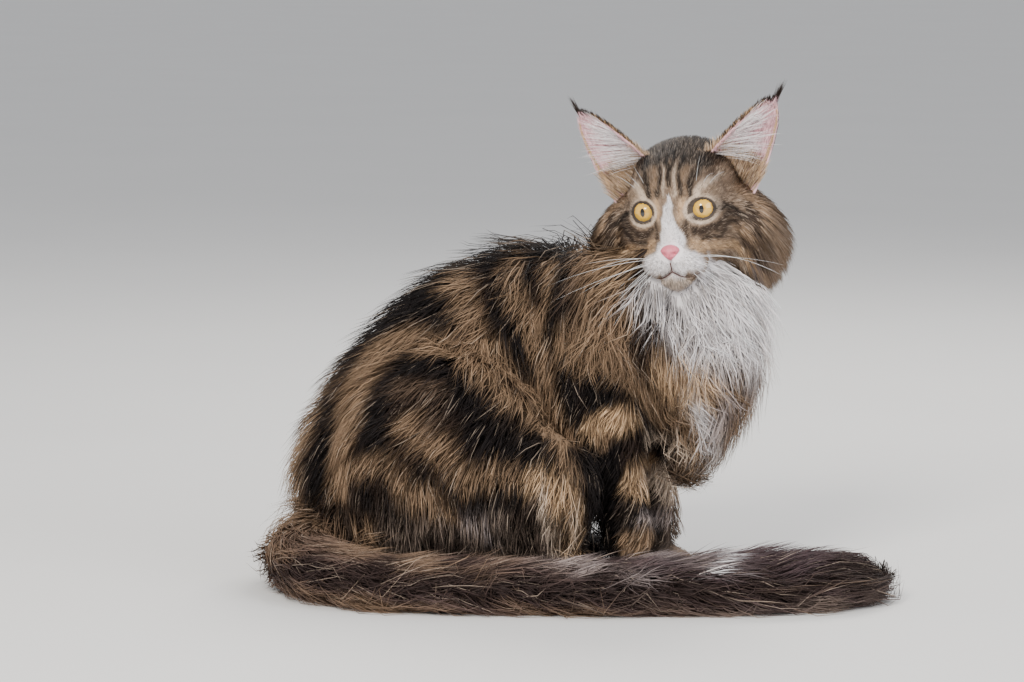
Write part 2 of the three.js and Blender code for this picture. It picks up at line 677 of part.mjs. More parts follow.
const finished = plain.map(([, solid]) => solid);
coated.forEach(({ name, solid }, i) => {
  const kind = name.replace(/_(left|right|\d)$/, "");
  const others = [...coated.slice(i + 1).map((node) => node.solid), ...finished];
  const blades = locksOn(solid, LOCKS[kind], others, body, SEED + i, LIE[kind], GROWS[kind]);
  const whole = largest(onFloor(joined([solid, ...blades])));
  finished.push(whole);
  add(name, whole, COAT_COLOURS[kind] ?? COLOURS.brown);
});

// The whole, moved so that the origin is under its middle
const cat = new THREE.Group();
for (const { name, solid, colour, roughness } of nodes) {
  const mesh = new THREE.Mesh(
    geometryOf(solid),
    new THREE.MeshStandardMaterial({ color: colour, roughness, metalness: 0 }),
  );
  mesh.name = name;
  cat.add(mesh);
}
const bounds = new THREE.Box3().setFromObject(cat);
const under = bounds.getCenter(V(0, 0, 0));
cat.position.set(-under.x, -under.y, -bounds.min.z);

export default cat;
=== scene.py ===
"""A maine coon cat sitting at life size, dressed over its solids.

One operator makes the skin, one the eyes, one the nose and mouth, one the whiskers, and three
the coat. Sizes are in millimetres in the cat's own frame: its haunches face -Y, its chest is
turned a little from there towards -X, its right side is at -X, and the floor is at 0.
"""

import math

import bpy
import numpy as np
from mathutils import Matrix, Vector, bvhtree, kdtree

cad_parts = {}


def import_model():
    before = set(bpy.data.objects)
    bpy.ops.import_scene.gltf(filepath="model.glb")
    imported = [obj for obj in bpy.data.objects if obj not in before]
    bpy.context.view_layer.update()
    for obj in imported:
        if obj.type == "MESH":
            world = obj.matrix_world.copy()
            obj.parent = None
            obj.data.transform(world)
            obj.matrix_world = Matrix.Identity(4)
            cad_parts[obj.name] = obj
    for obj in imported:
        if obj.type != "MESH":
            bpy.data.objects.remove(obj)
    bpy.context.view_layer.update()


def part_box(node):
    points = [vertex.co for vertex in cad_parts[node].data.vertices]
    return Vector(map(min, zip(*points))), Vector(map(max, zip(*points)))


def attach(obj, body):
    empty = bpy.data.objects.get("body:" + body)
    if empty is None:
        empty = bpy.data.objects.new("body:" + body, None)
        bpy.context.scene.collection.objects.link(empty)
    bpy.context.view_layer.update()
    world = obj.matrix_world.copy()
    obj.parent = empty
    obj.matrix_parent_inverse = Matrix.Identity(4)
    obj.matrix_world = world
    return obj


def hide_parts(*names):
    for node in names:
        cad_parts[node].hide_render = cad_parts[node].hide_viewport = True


bl_info = {
    "name": "Maine coon cat",
    "version": (1, 0, 0),
    "blender": (4, 5, 0),
    "location": "3D View > Sidebar > Cat",
    "description": "Builds a sitting long-haired tabby cat over its solids",
    "category": "Object",
}

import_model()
BODY = "root"
M = 0.001  # metres in a millimetre
PLAN_TILT = math.radians(7)  # how far the marking plan of the side looks down
PLAN_ASIDE = 37  # millimetres from the cat's middle to that plan
PIECE_LIMIT = 190000  # triangles in one piece of the coat
VOXEL = 2.6  # millimetres in a cell of the remeshed skin
RAY_STEPS, RAY_SHARE = 60, 0.8  # steps in to the skin, and the share of the way left that each takes
SKIN_FLOOR, LINE_FLOOR, TUFT_FLOOR = 0.6, 0.5, 0.25  # least heights of skin, tufts' lines and tufts' corners
UP, DOWN = np.array((0.0, 0.0, 1.0)), np.array((0.0, 0.0, -1.0))
SIDES = ((1, "left"), (-1, "right"))

# Sizes shared with the solids, in millimetres: middle, half width, half depth
TRUNK = (
    ((2, 240, 60), 42, 36),
    ((4, 218, 98), 58, 58),
    ((8, 180, 140), 66, 70),
    ((10, 130, 178), 64, 80),
    ((8, 78, 201), 58, 81),
    ((-2, 26, 206), 54, 74),
    ((-20, -18, 196), 48, 60),
    ((-40, -50, 184), 34, 42),
)
NECK = (
    ((-8, 26, 212), 46, 50),
    ((-18, -12, 242), 48, 50),
    ((-26, -38, 274), 52, 46),
    ((-29, -44, 300), 42, 38),
)
BIB = (
    ((-30, -48, 275), 38, 34),
    ((-42, -62, 245), 42, 32),
    ((-48, -68, 200), 35, 24),
    ((-46, -62, 152), 25, 15),
    ((-38, -46, 112), 14, 8),
)
FORELEG = (
    ((36, 22, 215), 16, 26),
    ((43, 20, 180), 22, 36),
    ((45, 20, 142), 22, 33),
    ((41, 17, 112), 19, 25),
    ((34, 8, 78), 16, 19),
    ((29, 2, 44), 14, 16),
    ((28, 1, 18), 14, 16),
)
TAIL = (
    ((0, 256, 44), 20, 20),
    ((-26, 276, 34), 24, 17),
    ((-76, 278, 27), 28, 15),
    ((-126, 246, 23), 31, 14),
    ((-156, 182, 20), 33, 14),
    ((-165, 94, 20), 34, 14),
    ((-164, 0, 20), 36, 15),
    ((-157, -84, 21), 38, 17),
    ((-143, -148, 21), 34, 17),
    ((-126, -186, 19), 20, 13),
)
HAUNCH = (
    ((58, 160, 106), (40, 84, 84)),
    ((66, 92, 84), (32, 56, 56)),
    ((66, 92, 17), (20, 58, 17)),
)
CHEST_AT, CHEST_TURN = np.array((-12.0, -10.0, 0.0)), math.radians(25)
CHEST_AHEAD = np.array((-math.sin(CHEST_TURN), -math.cos(CHEST_TURN), 0.0))
PELVIS_AT = np.array((5.0, 0.0, 0.0))
FORE_PAW, HIND_PAW = (28, -6, 0), (66, 44, 0)
PAW_LENGTH, PAW_WIDTH, PAW_HEIGHT, TOE = 50, 36, 27, 9

HEAD_AT = np.array((-32.0, -43.0, 324.0))
HEAD_TURN, HEAD_PITCH, HEAD_ROLL = math.radians(105.5), math.radians(-1.5), math.radians(5)
SKULL = (  # middle, half sizes, whether a twin lies on the other side
    ((-10, 0, 14), (50, 44, 38), False),
    ((20, 0, 14), (31, 33, 26), False),
    ((24, 0, -12), (30, 27, 30), False),
    ((41, 0, -15), (20, 10, 20), False),
    ((43, 0, -38), (22, 18, 15), False),
    ((43, 0, -55), (14, 12, 9), False),
    ((12, 0, -40), (36, 28, 24), False),
    ((6, 26, -16), (36, 24, 31), True),
    ((-12, 36, -22), (30, 34, 36), True),
    ((28, 24, 13), (13, 14, 8), True),
    ((48, 13, -43), (14, 14, 12), True),
)
SKULL_BLEND = 9
HEAD_MIDDLE = np.array((8.0, 0.0, -8.0))
EYE_AT, EYE_RADIUS, EYE_OUTWARD = np.array((29.5, 23.5, 0.0)), 13.2, math.radians(8)
NOSE_AT, NOSE_HALF = np.array((62.5, 0.0, -33.0)), np.array((7.5, 8.6, 6.6))
EAR_INNER, EAR_OUTER, EAR_TIP = np.array((4.0, 27, 43)), np.array((-8.0, 66, 15)), np.array((-8.0, 83, 78))
EAR_CUP, EAR_BOW = 20, 0.5
EAR_FOOT = -0.2  # how far the ear's leaf runs in below its root, as a share of its height
MOUTH = ((0, -40), (0, -49.5), (7, -54), (14, -55.5), (21, -53))  # aside and up, from the nose along a lip
ALMOND = (  # the opening between the lids, from the inner corner round over the top
    (-11.6, -4.4), (-9.6, 1.6), (-6.0, 6.6), (-0.6, 9.0), (4.8, 8.4), (8.8, 5.0), (10.6, 0.8),
    (9.2, -4.4), (5.4, -7.9), (0.4, -9.0), (-4.8, -8.2), (-9.0, -6.4),
)

# Tones of the coat and of bare skin, in sRGB
TONES = {
    "black": (24, 19, 19),
    "dark": (46, 34, 28),
    "brown": (98, 80, 66),
    "tan": (154, 127, 101),
    "honey": (206, 172, 135),
    "cream": (226, 204, 182),
    "white": (252, 246, 246),
    "grey": (132, 116, 104),
    "ash": (178, 164, 160),
    "mauve": (78, 62, 64),
    "pink": (233, 190, 196),
    "face": (150, 128, 108),
    "leather": (222, 118, 134),
    "lip": (74, 44, 42),
}

# Markings of the side: tone, width, and a line given forward of the paws and up from the floor
SIDE_MARKS = (
    ("tan", 49, ((-25, 287), (-22, 256), (-20, 226))),
    ("black", 18, ((-73, 299), (-64, 276), (-61, 246))),
    ("brown", 10, ((-46, 276), (-41, 243))),
    ("honey", 15, ((-8, 282), (-10, 263))),
    ("dark", 4, ((-25, 259), (-30, 228))),
    ("dark", 4, ((-8, 251), (-10, 226))),
    ("brown", 28, ((117, 309), (123, 276), (120, 235))),
    ("grey", 10, ((105, 268), (110, 235))),
    ("white", 39, ((20, 245), (46, 238), (69, 245), (82, 233))),
    ("tan", 13, ((-243, 188), (-267, 153), (-285, 120), (-294, 83), (-285, 26))),
    ("black", 33, ((-50, 298), (-92, 298), (-131, 287), (-171, 256), (-206, 223),
        (-230, 188), (-248, 153), (-262, 109), (-267, 65), (-264, 26))),
    ("black", 44, ((-180, 241), (-158, 234))),
    ("tan", 21, ((-149, 274), (-142, 241), (-131, 214), (-114, 195), (-96, 179))),
    ("tan", 15, ((-96, 179), (-79, 155), (-63, 135), (-48, 118), (-39, 96))),
    ("tan", 21, ((-90, 296), (-101, 271), (-101, 245), (-90, 223), (-81, 201), (-74, 179), (-66, 155))),
    ("tan", 16, ((-70, 271), (-68, 250), (-77, 225))),
    ("black", 11, ((-74, 293), (-85, 280), (-90, 265))),
    ("black", 18, ((-120, 278), (-114, 241), (-103, 210), (-90, 188))),
    ("black", 14, ((-55, 291), (-61, 256), (-67, 225), (-63, 192), (-55, 157), (-44, 131))),
    ("tan", 22, ((-248, 87), (-246, 118), (-237, 149), (-228, 177), (-213, 199), (-188, 212),
        (-158, 203), (-136, 186), (-118, 164), (-96, 142), (-72, 124), (-52, 107))),
    ("black", 21, ((-213, 114), (-215, 138), (-206, 166), (-188, 188), (-162, 188), (-145, 171))),
    ("black", 29, ((-145, 166), (-125, 149), (-101, 129), (-79, 116))),
    ("black", 19, ((-140, 131), (-114, 111), (-81, 105))),
    ("brown", 18, ((-193, 168), (-175, 166), (-160, 165))),
    ("tan", 20, ((-188, 140), (-175, 129), (-162, 118), (-149, 103), (-136, 90), (-118, 94), (-99, 94))),
    ("brown", 13, ((-171, 140), (-153, 131))),
    ("black", 18, ((-188, 94), (-167, 83), (-145, 70), (-118, 76), (-99, 81))),
    ("tan", 20, ((-226, 103), (-210, 107), (-197, 94), (-186, 78), (-169, 72), (-153, 65))),
    ("black", 13, ((-208, 70), (-193, 63))),
    ("black", 10, ((-228, 87), (-224, 70))),
    ("tan", 20, ((-232, 44), (-212, 46))),
    ("grey", 30, ((-202, 46), (-158, 46), (-118, 50))),
    ("ash", 12, ((-142, 60), (-120, 46))),
    ("dark", 13, ((-171, 32), (-145, 37))),
    ("honey", 22, ((-81, 89), (-59, 81), (-48, 61), (-52, 28))),
    ("cream", 7, ((-79, 81), (-70, 54), (-66, 26))),
    ("cream", 5, ((-52, 70), (-46, 43), (-55, 21))),
    ("dark", 7, ((-59, 65), (-57, 32))),
    ("black", 31, ((-26, 188), (-24, 153), (-26, 109), (-28, 65), (-26, 17))),
    ("tan", 30, ((-53, 208), (-35, 197))),
    ("black", 19, ((-57, 174), (-32, 168), (-6, 163))),
    ("black", 15, ((3, 168), (12, 146), (21, 134))),
    ("honey", 14, ((-38, 136), (-20, 143), (-4, 144))),
    ("honey", 13, ((-29, 130), (-12, 136))),
    ("tan", 9, ((-26, 120), (-19, 128))),
    ("honey", 16, ((36, 172), (52, 150), (60, 128))),
    ("cream", 13, ((56, 165), (66, 146), (70, 126))),
    ("cream", 12, ((24, 196), (44, 190), (62, 178))),
    ("black", 19, ((-47, 110), (-25, 101), (-15, 89), (-22, 69), (-26, 39))),
    ("tan", 22, ((-13, 190), (2, 180), (21, 152), (39, 137))),
    ("honey", 34, ((30, 187), (45, 169), (59, 172))),
    ("dark", 5, ((8, 187), (21, 168), (30, 155), (40, 146))),
    ("cream", 7, ((42, 168), (45, 155))),
    ("black", 10, ((3, 137), (15, 129), (30, 134))),
    ("cream", 13, ((18, 122), (33, 122), (51, 115))),
    ("dark", 9, ((21, 109), (34, 100))),
    ("white", 15, ((54, 153), (64, 134), (68, 122))),
    ("honey", 27, ((6, 88), (12, 92))),
    ("cream", 16, ((15, 89), (27, 86), (37, 76))),
    ("black", 12, ((-3, 70), (17, 69))),
    ("ash", 12, ((6, 57), (30, 52))),
    ("black", 8, ((-6, 54), (8, 48))),
    ("tan", 22, ((-3, 35), (9, 36))),
    # The black band low on the forepaw: partly its own dark fur, partly painted shade at its foot by the
    # floor.
    ("black", 11, ((-29, 14), (14, 14))),
    ("black", 8, ((21, 44), (27, 38))),
    ("ash", 18, ((80, 155), (71, 134))),
    ("white", 34, ((45, 212), (71, 203), (95, 209))),
    ("dark", 8, ((48, 189), (51, 186))),
    ("dark", 7, ((27, 203), (33, 200))),
    ("brown", 10, ((95, 187), (105, 187))),
    ("ash", 13, ((96, 174), (105, 166))),
)

# Markings of the face: tone, width, and a line given aside and up from between the eyes, for one side
FACE_MARKS = (
    ("black", 26, ((0, 52), (16, 50), (30, 44))),
    ("black", 4.4, ((0, 21), (1.0, 30), (2, 46))),
    ("cream", 2.0, ((5.2, 14), (5.0, 24), (5.2, 36))),
    ("black", 4.2, ((10.0, 13), (9.0, 24), (10, 42))),
    ("tan", 2.4, ((14.4, 12), (13.8, 22), (15, 34))),
    ("black", 6.2, ((18.6, 13), (19.6, 21), (22.5, 33), (24, 43))),
    ("cream", 6.0, ((25, 14), (29, 20), (34, 23))),
    ("brown", 6.0, ((30, 27), (36, 34))),
    ("honey", 4.6, ((11.4, 9), (9.8, 0), (10.6, -6))),
    ("dark", 3.4, ((14.2, -9.5), (12.6, -17), (13, -22))),
    ("black", 6.0, ((37, 1.5), (45, -4), (53, -11))),
    ("dark", 5.5, ((19, -17), (28, -19.5), (38, -15), (43, -8))),
    ("dark", 4.5, ((25, -25), (36, -23.5), (47, -13))),
    ("honey", 8.0, ((18, -27.5), (26, -32))),
    ("honey", 9.0, ((34, -31), (44, -33), (52, -41))),
    ("tan", 8.0, ((50, -20), (56, -28))),
    ("dark", 6.0, ((51, -26), (60, -42), (66, -54))),
    ("dark", 7.0, ((58, 0), (61, -18), (60, -32))),
    ("tan", 9, ((50, 12), (60, 5), (68, -8))),
    ("tan", 8.0, ((68, -14), (72, -30), (68, -46))),
    ("honey", 6.0, ((57, -44), (62, -56))),
    ("cream", 4.0, ((42, -42), (50, -50))),
    ("ash", 6.0, ((54, -52), (64, -58))),
)

# Markings of the muzzle, laid over those of the face: as above, with the softness and strength of each
MUZZLE_MARKS = (
    ("white", 18, ((6, -37), (12, -42), (18, -43)), 2.4, 1),
    ("tan", 5, ((29, -38), (30, -47)), 2.5, 0.5),
    ("cream", 15, ((0, -61), (8, -63)), 3, 0.85),
    # The grey line along the mouth: partly the lip's own dark edge, partly painted shade in the mouth's
    # crease.
    ("grey", 3.0, MOUTH[1:], 1.6, 0.55),
    ("white", 30, ((0, -80), (20, -78)), 5, 1),
)

# Length and lift of the coat by region, in millimetres
COAT = {
    "trunk": (48, 22),
    "neck": (72, 38),
    "bib": (68, 26),
    "haunch": (42, 17),
    "foreleg": (20, 8),
    "tail": (58, 22),
}
REGIONS = tuple(COAT)
REGION_BLEND = 5.0  # how softly one region runs into the next
WITHERS = np.array((-4.0, 40.0, 320.0))
LAYERS = (  # steps along a tuft, and the share of the tufts, length and lift, of each layer of the coat
    dict(name="under", steps=2, share=0.52, length=0.72, lift=0.72),
    dict(name="coat", steps=3, share=0.48, length=1.0, lift=1.0),
)
FACE_OFF, FACE_ASIDE, FACE_CHIN = 9, 48, -30  # the body's coat keeps clear of the face: off, aside, up
HEAD_DEPTH = 2.2  # how far under the body's skin a root of the head's coat may lie
EAR_THICK = 1.5  # thickness of an ear's leaf, in millimetres
EAR_HAIRS = dict(back=2200, cup=900, fan=230, root=1100, tip=70, rim=1000)

LOOK_AT = (-60, 103, 211)  # what the camera and the lamps face
FLOOR_SIZE, SENSOR = 240, 36  # side of the floor in metres, width of the camera's sensor in millimetres
LAMPS = (  # name, place from what is looked at in metres, size, power and colour
    ("key", (-2.1, 0.7, 1.6), 0.9, 92, (1.0, 0.96, 0.90)),
    ("fill", (-1.3, -1.9, 0.9), 1.6, 30, (0.93, 0.95, 1.0)),
    ("rim", (1.5, -0.6, 1.7), 0.9, 40, (1.0, 0.97, 0.93)),
)


class CoatSettings(bpy.types.PropertyGroup):
    """Lengths, widths and numbers of the coat's tufts."""

    body_tufts: bpy.props.IntProperty(
        name="Body tufts", description="Tufts on the trunk, ruff, legs and tail", default=80000, min=1000
    )
    head_tufts: bpy.props.IntProperty(
        name="Head tufts", description="Tufts on the face, crown and cheeks", default=40000, min=1000
    )
    body_width: bpy.props.FloatProperty(
        name="Tuft width", description="Widest part of a tuft of the body, in mm", default=0.95, min=0.2
    )
    face_width: bpy.props.FloatProperty(
        name="Face tuft width", description="Widest part of a tuft of the face, in mm", default=0.6, min=0.1
    )
    lock_spacing: bpy.props.FloatProperty(
        name="Lock spacing", description="Distance between locks of tufts, in mm", default=17.0
    )
    strand_spacing: bpy.props.FloatProperty(
        name="Strand spacing", description="Distance between a lock's finer strands, in mm", default=5.0
    )
    gather: bpy.props.FloatProperty(
        name="Gather", description="How far tips draw together", default=0.5, subtype="FACTOR", max=1
    )
    seed: bpy.props.IntProperty(name="Seed", description="Seed of the coat's random numbers", default=11)


class EyeSettings(bpy.types.PropertyGroup):
    """Sizes and colours of the eyes."""

    iris: bpy.props.FloatProperty(name="Iris radius", description="Radius of the iris, in mm", default=10.2)
    pupil_wide: bpy.props.FloatProperty(name="Pupil half width", description="In mm", default=1.9)
    pupil_high: bpy.props.FloatProperty(name="Pupil half height", description="In mm", default=3.6)
    gold: bpy.props.FloatVectorProperty(
        name="Gold", description="Middle of the iris", subtype="COLOR", size=3, default=(0.74, 0.43, 0.055)
    )
    amber: bpy.props.FloatVectorProperty(
        name="Amber", description="Edge of the iris", subtype="COLOR", size=3, default=(0.46, 0.22, 0.025)
    )


class StageSettings(bpy.types.PropertyGroup):
    """The camera and the studio."""

    azimuth: bpy.props.FloatProperty(
        name="Azimuth", description="Camera's turn round the cat", subtype="ANGLE", default=math.radians(-90)
    )
    elevation: bpy.props.FloatProperty(
        name="Elevation", description="Camera's tilt down", subtype="ANGLE", default=math.radians(7)
    )
    distance: bpy.props.FloatProperty(
        name="Distance", description="Camera to cat", subtype="DISTANCE", default=3.2
    )
    view_width: bpy.props.FloatProperty(
        name="View width", description="Width seen at the cat", subtype="DISTANCE", default=0.868
    )


def linear(rgb):
    """A colour in linear light from one of 0 to 255 on a screen."""
    c = np.array(rgb, float) / 255
    return np.where(c <= 0.04045, c / 12.92, ((c + 0.055) / 1.055) ** 2.4)


TONE = {name: linear(rgb) for name, rgb in TONES.items()}


# ----- frames
def head_axes():
    """Forward, left and up of the head, as rows."""
    level = np.array((-math.sin(HEAD_TURN), -math.cos(HEAD_TURN), 0.0))
    side = np.cross(UP, level)
    forward = level * math.cos(HEAD_PITCH) + UP * math.sin(HEAD_PITCH)
    left = side * math.cos(HEAD_ROLL) + np.cross(forward, side) * math.sin(HEAD_ROLL)
    return np.array((forward, left, np.cross(forward, left)))


HEAD_AXES = head_axes()


def from_head(points):
    """Points of the head's frame, in the cat's frame."""
    return HEAD_AT + np.asarray(points, float) @ HEAD_AXES


def to_head(points):
    """Points of the cat's frame, in the head's frame."""
    return (points - HEAD_AT) @ HEAD_AXES.T


def eye_axes(side):
    """Gaze, aside and up of an eye, as rows in the head's frame."""
    gaze = np.array((math.cos(EYE_OUTWARD), side * math.sin(EYE_OUTWARD), 0.0))
    aside = np.array((-side * math.sin(EYE_OUTWARD), math.cos(EYE_OUTWARD), 0.0)) * side
    return np.array((gaze, aside, (0.0, 0.0, 1.0)))


def cad_shift():
    """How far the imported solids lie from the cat's own frame, read off its eyes."""
    shifts = []
    for side, node in ((1, "eye_left"), (-1, "eye_right")):
        low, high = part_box(node)
        middle = (np.array(low) + np.array(high)) / 2 / M
        shifts.append(middle - from_head(EYE_AT * (1, side, 1)))
    return np.mean(shifts, axis=0)


SHIFT = cad_shift()


def world(points):
    """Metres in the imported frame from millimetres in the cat's frame."""
    return (np.asarray(points, float) + SHIFT) * M


def placed(points, side, at, turn):
    """Points of a left limb, mirrored for the right (-1), turned and set in place."""
    p = np.array(points, float).reshape(-1, 3) * (side, 1, 1)
    c, s = math.cos(-turn), math.sin(-turn)
    return np.stack((p[:, 0] * c - p[:, 1] * s, p[:, 0] * s + p[:, 1] * c, p[:, 2]), axis=1) + at


# ----- limbs as rows of rounded stations
def unit(v):
    """Vectors of length one."""
    return v / np.maximum(np.linalg.norm(v, axis=-1, keepdims=True), 1e-9)


def smooth_line(points, count):
    """Points along a smooth line through the given ones, the given one before each and the share past it."""
    p = np.array(points, float)
    p = np.vstack((2 * p[0] - p[1], p, 2 * p[-1] - p[-2]))
    where = np.linspace(0, len(points) - 1 - 1e-6, count)
    i = where.astype(int)
    f = (where - i)[:, None]
    a, b, c, d = p[i], p[i + 1], p[i + 2], p[i + 3]
    line = 0.5 * ((2 * b) + (c - a) * f + (2 * a - 5 * b + 4 * c - d) * f**2 + (3 * b - a - 3 * c + d) * f**3)
    return line, i, f


def stations(sections, count, side=0, at=None, turn=0.0):
    """Middles, tangents, half widths and half depths along a limb."""
    middles = [s[0] for s in sections]
    if side:
        middles = placed(middles, side, at, turn)
    line, i, f = smooth_line(middles, count)
    past = f[:, 0] ** 2 * (3 - 2 * f[:, 0])
    after = np.minimum(i + 1, len(sections) - 1)
    halves = [np.array([s[k] for s in sections], float) for k in (1, 2)]
    wide, deep = (half[i] * (1 - past) + half[after] * past for half in halves)
    return {"line": line, "tangent": unit(np.gradient(line, axis=0)), "wide": wide, "deep": deep}


LIMBS = {
    "trunk": stations(TRUNK, 22),
    "neck": stations(NECK, 10),
    "bib": stations(BIB, 12),
    "tail": stations(TAIL, 40),
    **{f"foreleg_{name}": stations(FORELEG, 20, side, CHEST_AT, CHEST_TURN) for side, name in SIDES},
}


def limb_distance(points, limb):
    """Distance to a limb's skin, and its nearest station."""
    best = np.full(len(points), 1e9)
    nearest = np.zeros(len(points), int)
    for k, (middle, wide, deep) in enumerate(zip(limb["line"], limb["wide"], limb["deep"])):
        d = np.linalg.norm(points - middle, axis=1) - (wide + deep) / 2
        closer = d < best
        best[closer] = d[closer]
        nearest[closer] = k
    return best, nearest


def mass_distance(points, middle, half):
    """Distance to an ellipsoid, right near its skin."""
    q = (points - middle) / half
    near = np.linalg.norm(q, axis=1)
    slope = np.linalg.norm(q / half, axis=1)
    return np.where(slope < 1e-9, -min(half), near * (near - 1) / np.maximum(slope, 1e-9))


def blended(distances, blend):
    """Distance to soft masses that run into each other."""
    total = distances[0]
    for d in distances[1:]:
        h = np.maximum(blend - np.abs(total - d), 0) / blend
        total = np.minimum(total, d) - h * h * blend / 4
    return total


def skull_distance(points, lids=False):
    """Distance to the head's skin, for points in the head's frame."""
    found = []
    for middle, half, twin in SKULL:
        for side in (1, -1) if twin else (1,):
            found.append(mass_distance(points, np.array(middle, float) * (1, side, 1), np.array(half, float)))
    total = blended(found, SKULL_BLEND)
    if lids:
        for side in (1, -1):
            ball = np.linalg.norm(points - EYE_AT * (1, side, 1), axis=1) - EYE_RADIUS - 1.5
            total = blended([total, ball], 3.0)
    return total


def haunch_distance(points, side):
    """Distance to the skin of one haunch and hind leg."""
    found = []
    for middle, half in HAUNCH:
        at = placed([middle], side, PELVIS_AT, 0.0)[0]
        found.append(mass_distance(points, at, np.array(half, float)))
    return blended(found, 20)


# ----- mesh helpers
def clear_selection():
    for obj in bpy.context.selected_objects:
        obj.select_set(False)


def activate(obj):
    clear_selection()
    obj.select_set(True)
    bpy.context.view_layer.objects.active = obj


def named(name):
    """Name the active object and its mesh."""
    obj = bpy.context.active_object
    obj.name = name
    obj.data.name = name
    return obj


def join(objects, name):
    clear_selection()
    for obj in objects:
        obj.select_set(True)
    bpy.context.view_layer.objects.active = objects[0]
    bpy.ops.object.join()
    return named(name)


def modify(obj, kind, **values):
    """Add a modifier and apply it."""
    activate(obj)
    modifier = obj.modifiers.new(kind.title(), kind)
    for key, value in values.items():
        setattr(modifier, key, value)
    bpy.ops.object.modifier_apply(modifier=modifier.name)


def finish_shell(obj, material):
    """Turn a piece's faces outward, give it its finish and shade it smooth."""
    activate(obj)
    bpy.ops.object.mode_set(mode="EDIT")
    bpy.ops.mesh.select_all(action="SELECT")
    bpy.ops.mesh.normals_make_consistent(inside=False)
    bpy.ops.object.mode_set(mode="OBJECT")
    obj.data.materials.append(material)
    bpy.ops.object.shade_smooth()


def coordinates(obj):
    co = np.empty(len(obj.data.vertices) * 3)
    obj.data.vertices.foreach_get("co", co)
    return co.reshape(-1, 3)


def move_vertices(obj, points):
    obj.data.vertices.foreach_set("co", np.ascontiguousarray(points, dtype=np.float64).ravel())
    obj.data.update()


def cat_points(obj):
    """An object's vertices in the cat's frame."""
    return coordinates(obj) / M - SHIFT


def ball(middle, axes, half, segments=20, rings=12):
    """A rounded mass on its own axes (rows), given in the cat's frame."""
    rotation = Matrix([Vector(axis) for axis in axes]).transposed().to_euler()
    bpy.ops.mesh.primitive_uv_sphere_add(
        segments=segments, ring_count=rings, radius=M, location=world(middle), rotation=rotation, scale=half
    )
    return bpy.context.active_object


def ride(obj, slot, *nodes):
    """Set a piece on the body in place of the solids it dresses; the slot is not used."""
    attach(obj, BODY)
    if nodes:
        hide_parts(*nodes)


def tint(obj, colours):
    """Keep a colour at each vertex for the material."""
    rgba = np.ones((len(colours), 4), dtype=np.float32)
    rgba[:, :3] = colours
    obj.data.attributes.new("Tint", "FLOAT_COLOR", "POINT").data.foreach_set("color", rgba.ravel())


# ----- markings
def line_distance(points, line):
    """Distance in a plane from points to a line of joined points."""
    line = np.array(line, float)
    if len(line) == 1:
        return np.linalg.norm(points - line[0], axis=1)
    best = np.full(len(points), 1e9)
    for a, b in zip(line[:-1], line[1:]):
        run = b - a
        t = np.clip(((points - a) @ run) / max(run @ run, 1e-9), 0, 1)
        best = np.minimum(best, np.linalg.norm(points - a - t[:, None] * run, axis=1))
    return best


def ease(low, high, x):
    """A soft step from 0 at low to 1 at high."""
    t = np.clip((x - low) / (high - low), 0, 1)
    return t * t * (3 - 2 * t)


def plain(tone, count):
    """One tone for each of a number of points."""
    return np.tile(TONE[tone], (count, 1))


def lay(colours, tone, amount):
    """Colours drawn towards a tone."""
    return colours + (TONE[tone] - colours) * amount[:, None]


def stroke(colours, plan, tone, width, line, soft=3.4, strength=0.95):
    """Colours with one marking laid over them."""
    amount = 1 - ease(width / 2 - soft, width / 2 + soft, line_distance(plan, line))
    return lay(colours, tone, amount * strength)


def side_plan(points):
    """Forward and up on the plan of the marked side, the same for both sides."""
    up = points[:, 2] * math.cos(PLAN_TILT) - (np.abs(points[:, 0]) - PLAN_ASIDE) * math.sin(PLAN_TILT)
    return np.stack((-points[:, 1], up), axis=1)


def wobble(points, size):
    """A slow even ripple that keeps the markings' edges from running straight."""
    x, y, z = points.T / size
    a = np.sin(x + 1.3) + np.sin(y * 1.7 + z)
    b = np.sin(z * 1.3 + 0.7) + np.sin(x * 1.1 - y * 1.9)
    return np.stack((a, b), axis=1)


def tail_colours(points, nearest):
    """Tone of the tail: paler below and along its top, where white streaks are painted highlight on its
    locks, dark down its middle and at its end.
    """
    share = nearest / (len(LIMBS["tail"]["line"]) - 1)
    high = points[:, 2] + wobble(points, 17)[:, 0] * 4
    patch = 0.5 + 0.5 * np.sin(share * 43 + points[:, 2] * 0.13 + points[:, 0] * 0.06)
    # Bands that lay the painted highlight on the top locks of the tail.
    streaks = ease(0.3, 0.8, np.sin(points[:, 1] * 0.21 + points[:, 2] * 0.23))
    middle = ease(0.52, 0.6, share) * ease(0.8, 0.7, share)
    colours = plain("mauve", len(points))
    for tone, amount in (
        ("tan", ease(28, 44, high) * ease(0.7, 0.5, share) * (0.35 + 0.6 * patch)),
        ("dark", ease(12, 20, high) * ease(40, 30, high) * 0.8),
        ("tan", ease(18, 8, high) * (0.25 + 0.5 * patch) * ease(0.8, 0.6, share)),
        ("grey", ease(18, 8, high) * (0.2 + 0.5 * patch) * ease(0.6, 0.8, share)),
        ("ash", ease(30, 42, high) * middle * patch * 0.8),
        # Painted highlight: white streaks on the locks along the tail's top.
        ("white", ease(34, 42, high) * ease(22, 12, np.abs(points[:, 1] + 76)) * streaks),
        ("tan", ease(0.24, 0.12, share) * 0.55),
        ("dark", ease(0.86, 0.93, share) * 0.5),
    ):
        colours = lay(colours, tone, amount)
    return colours


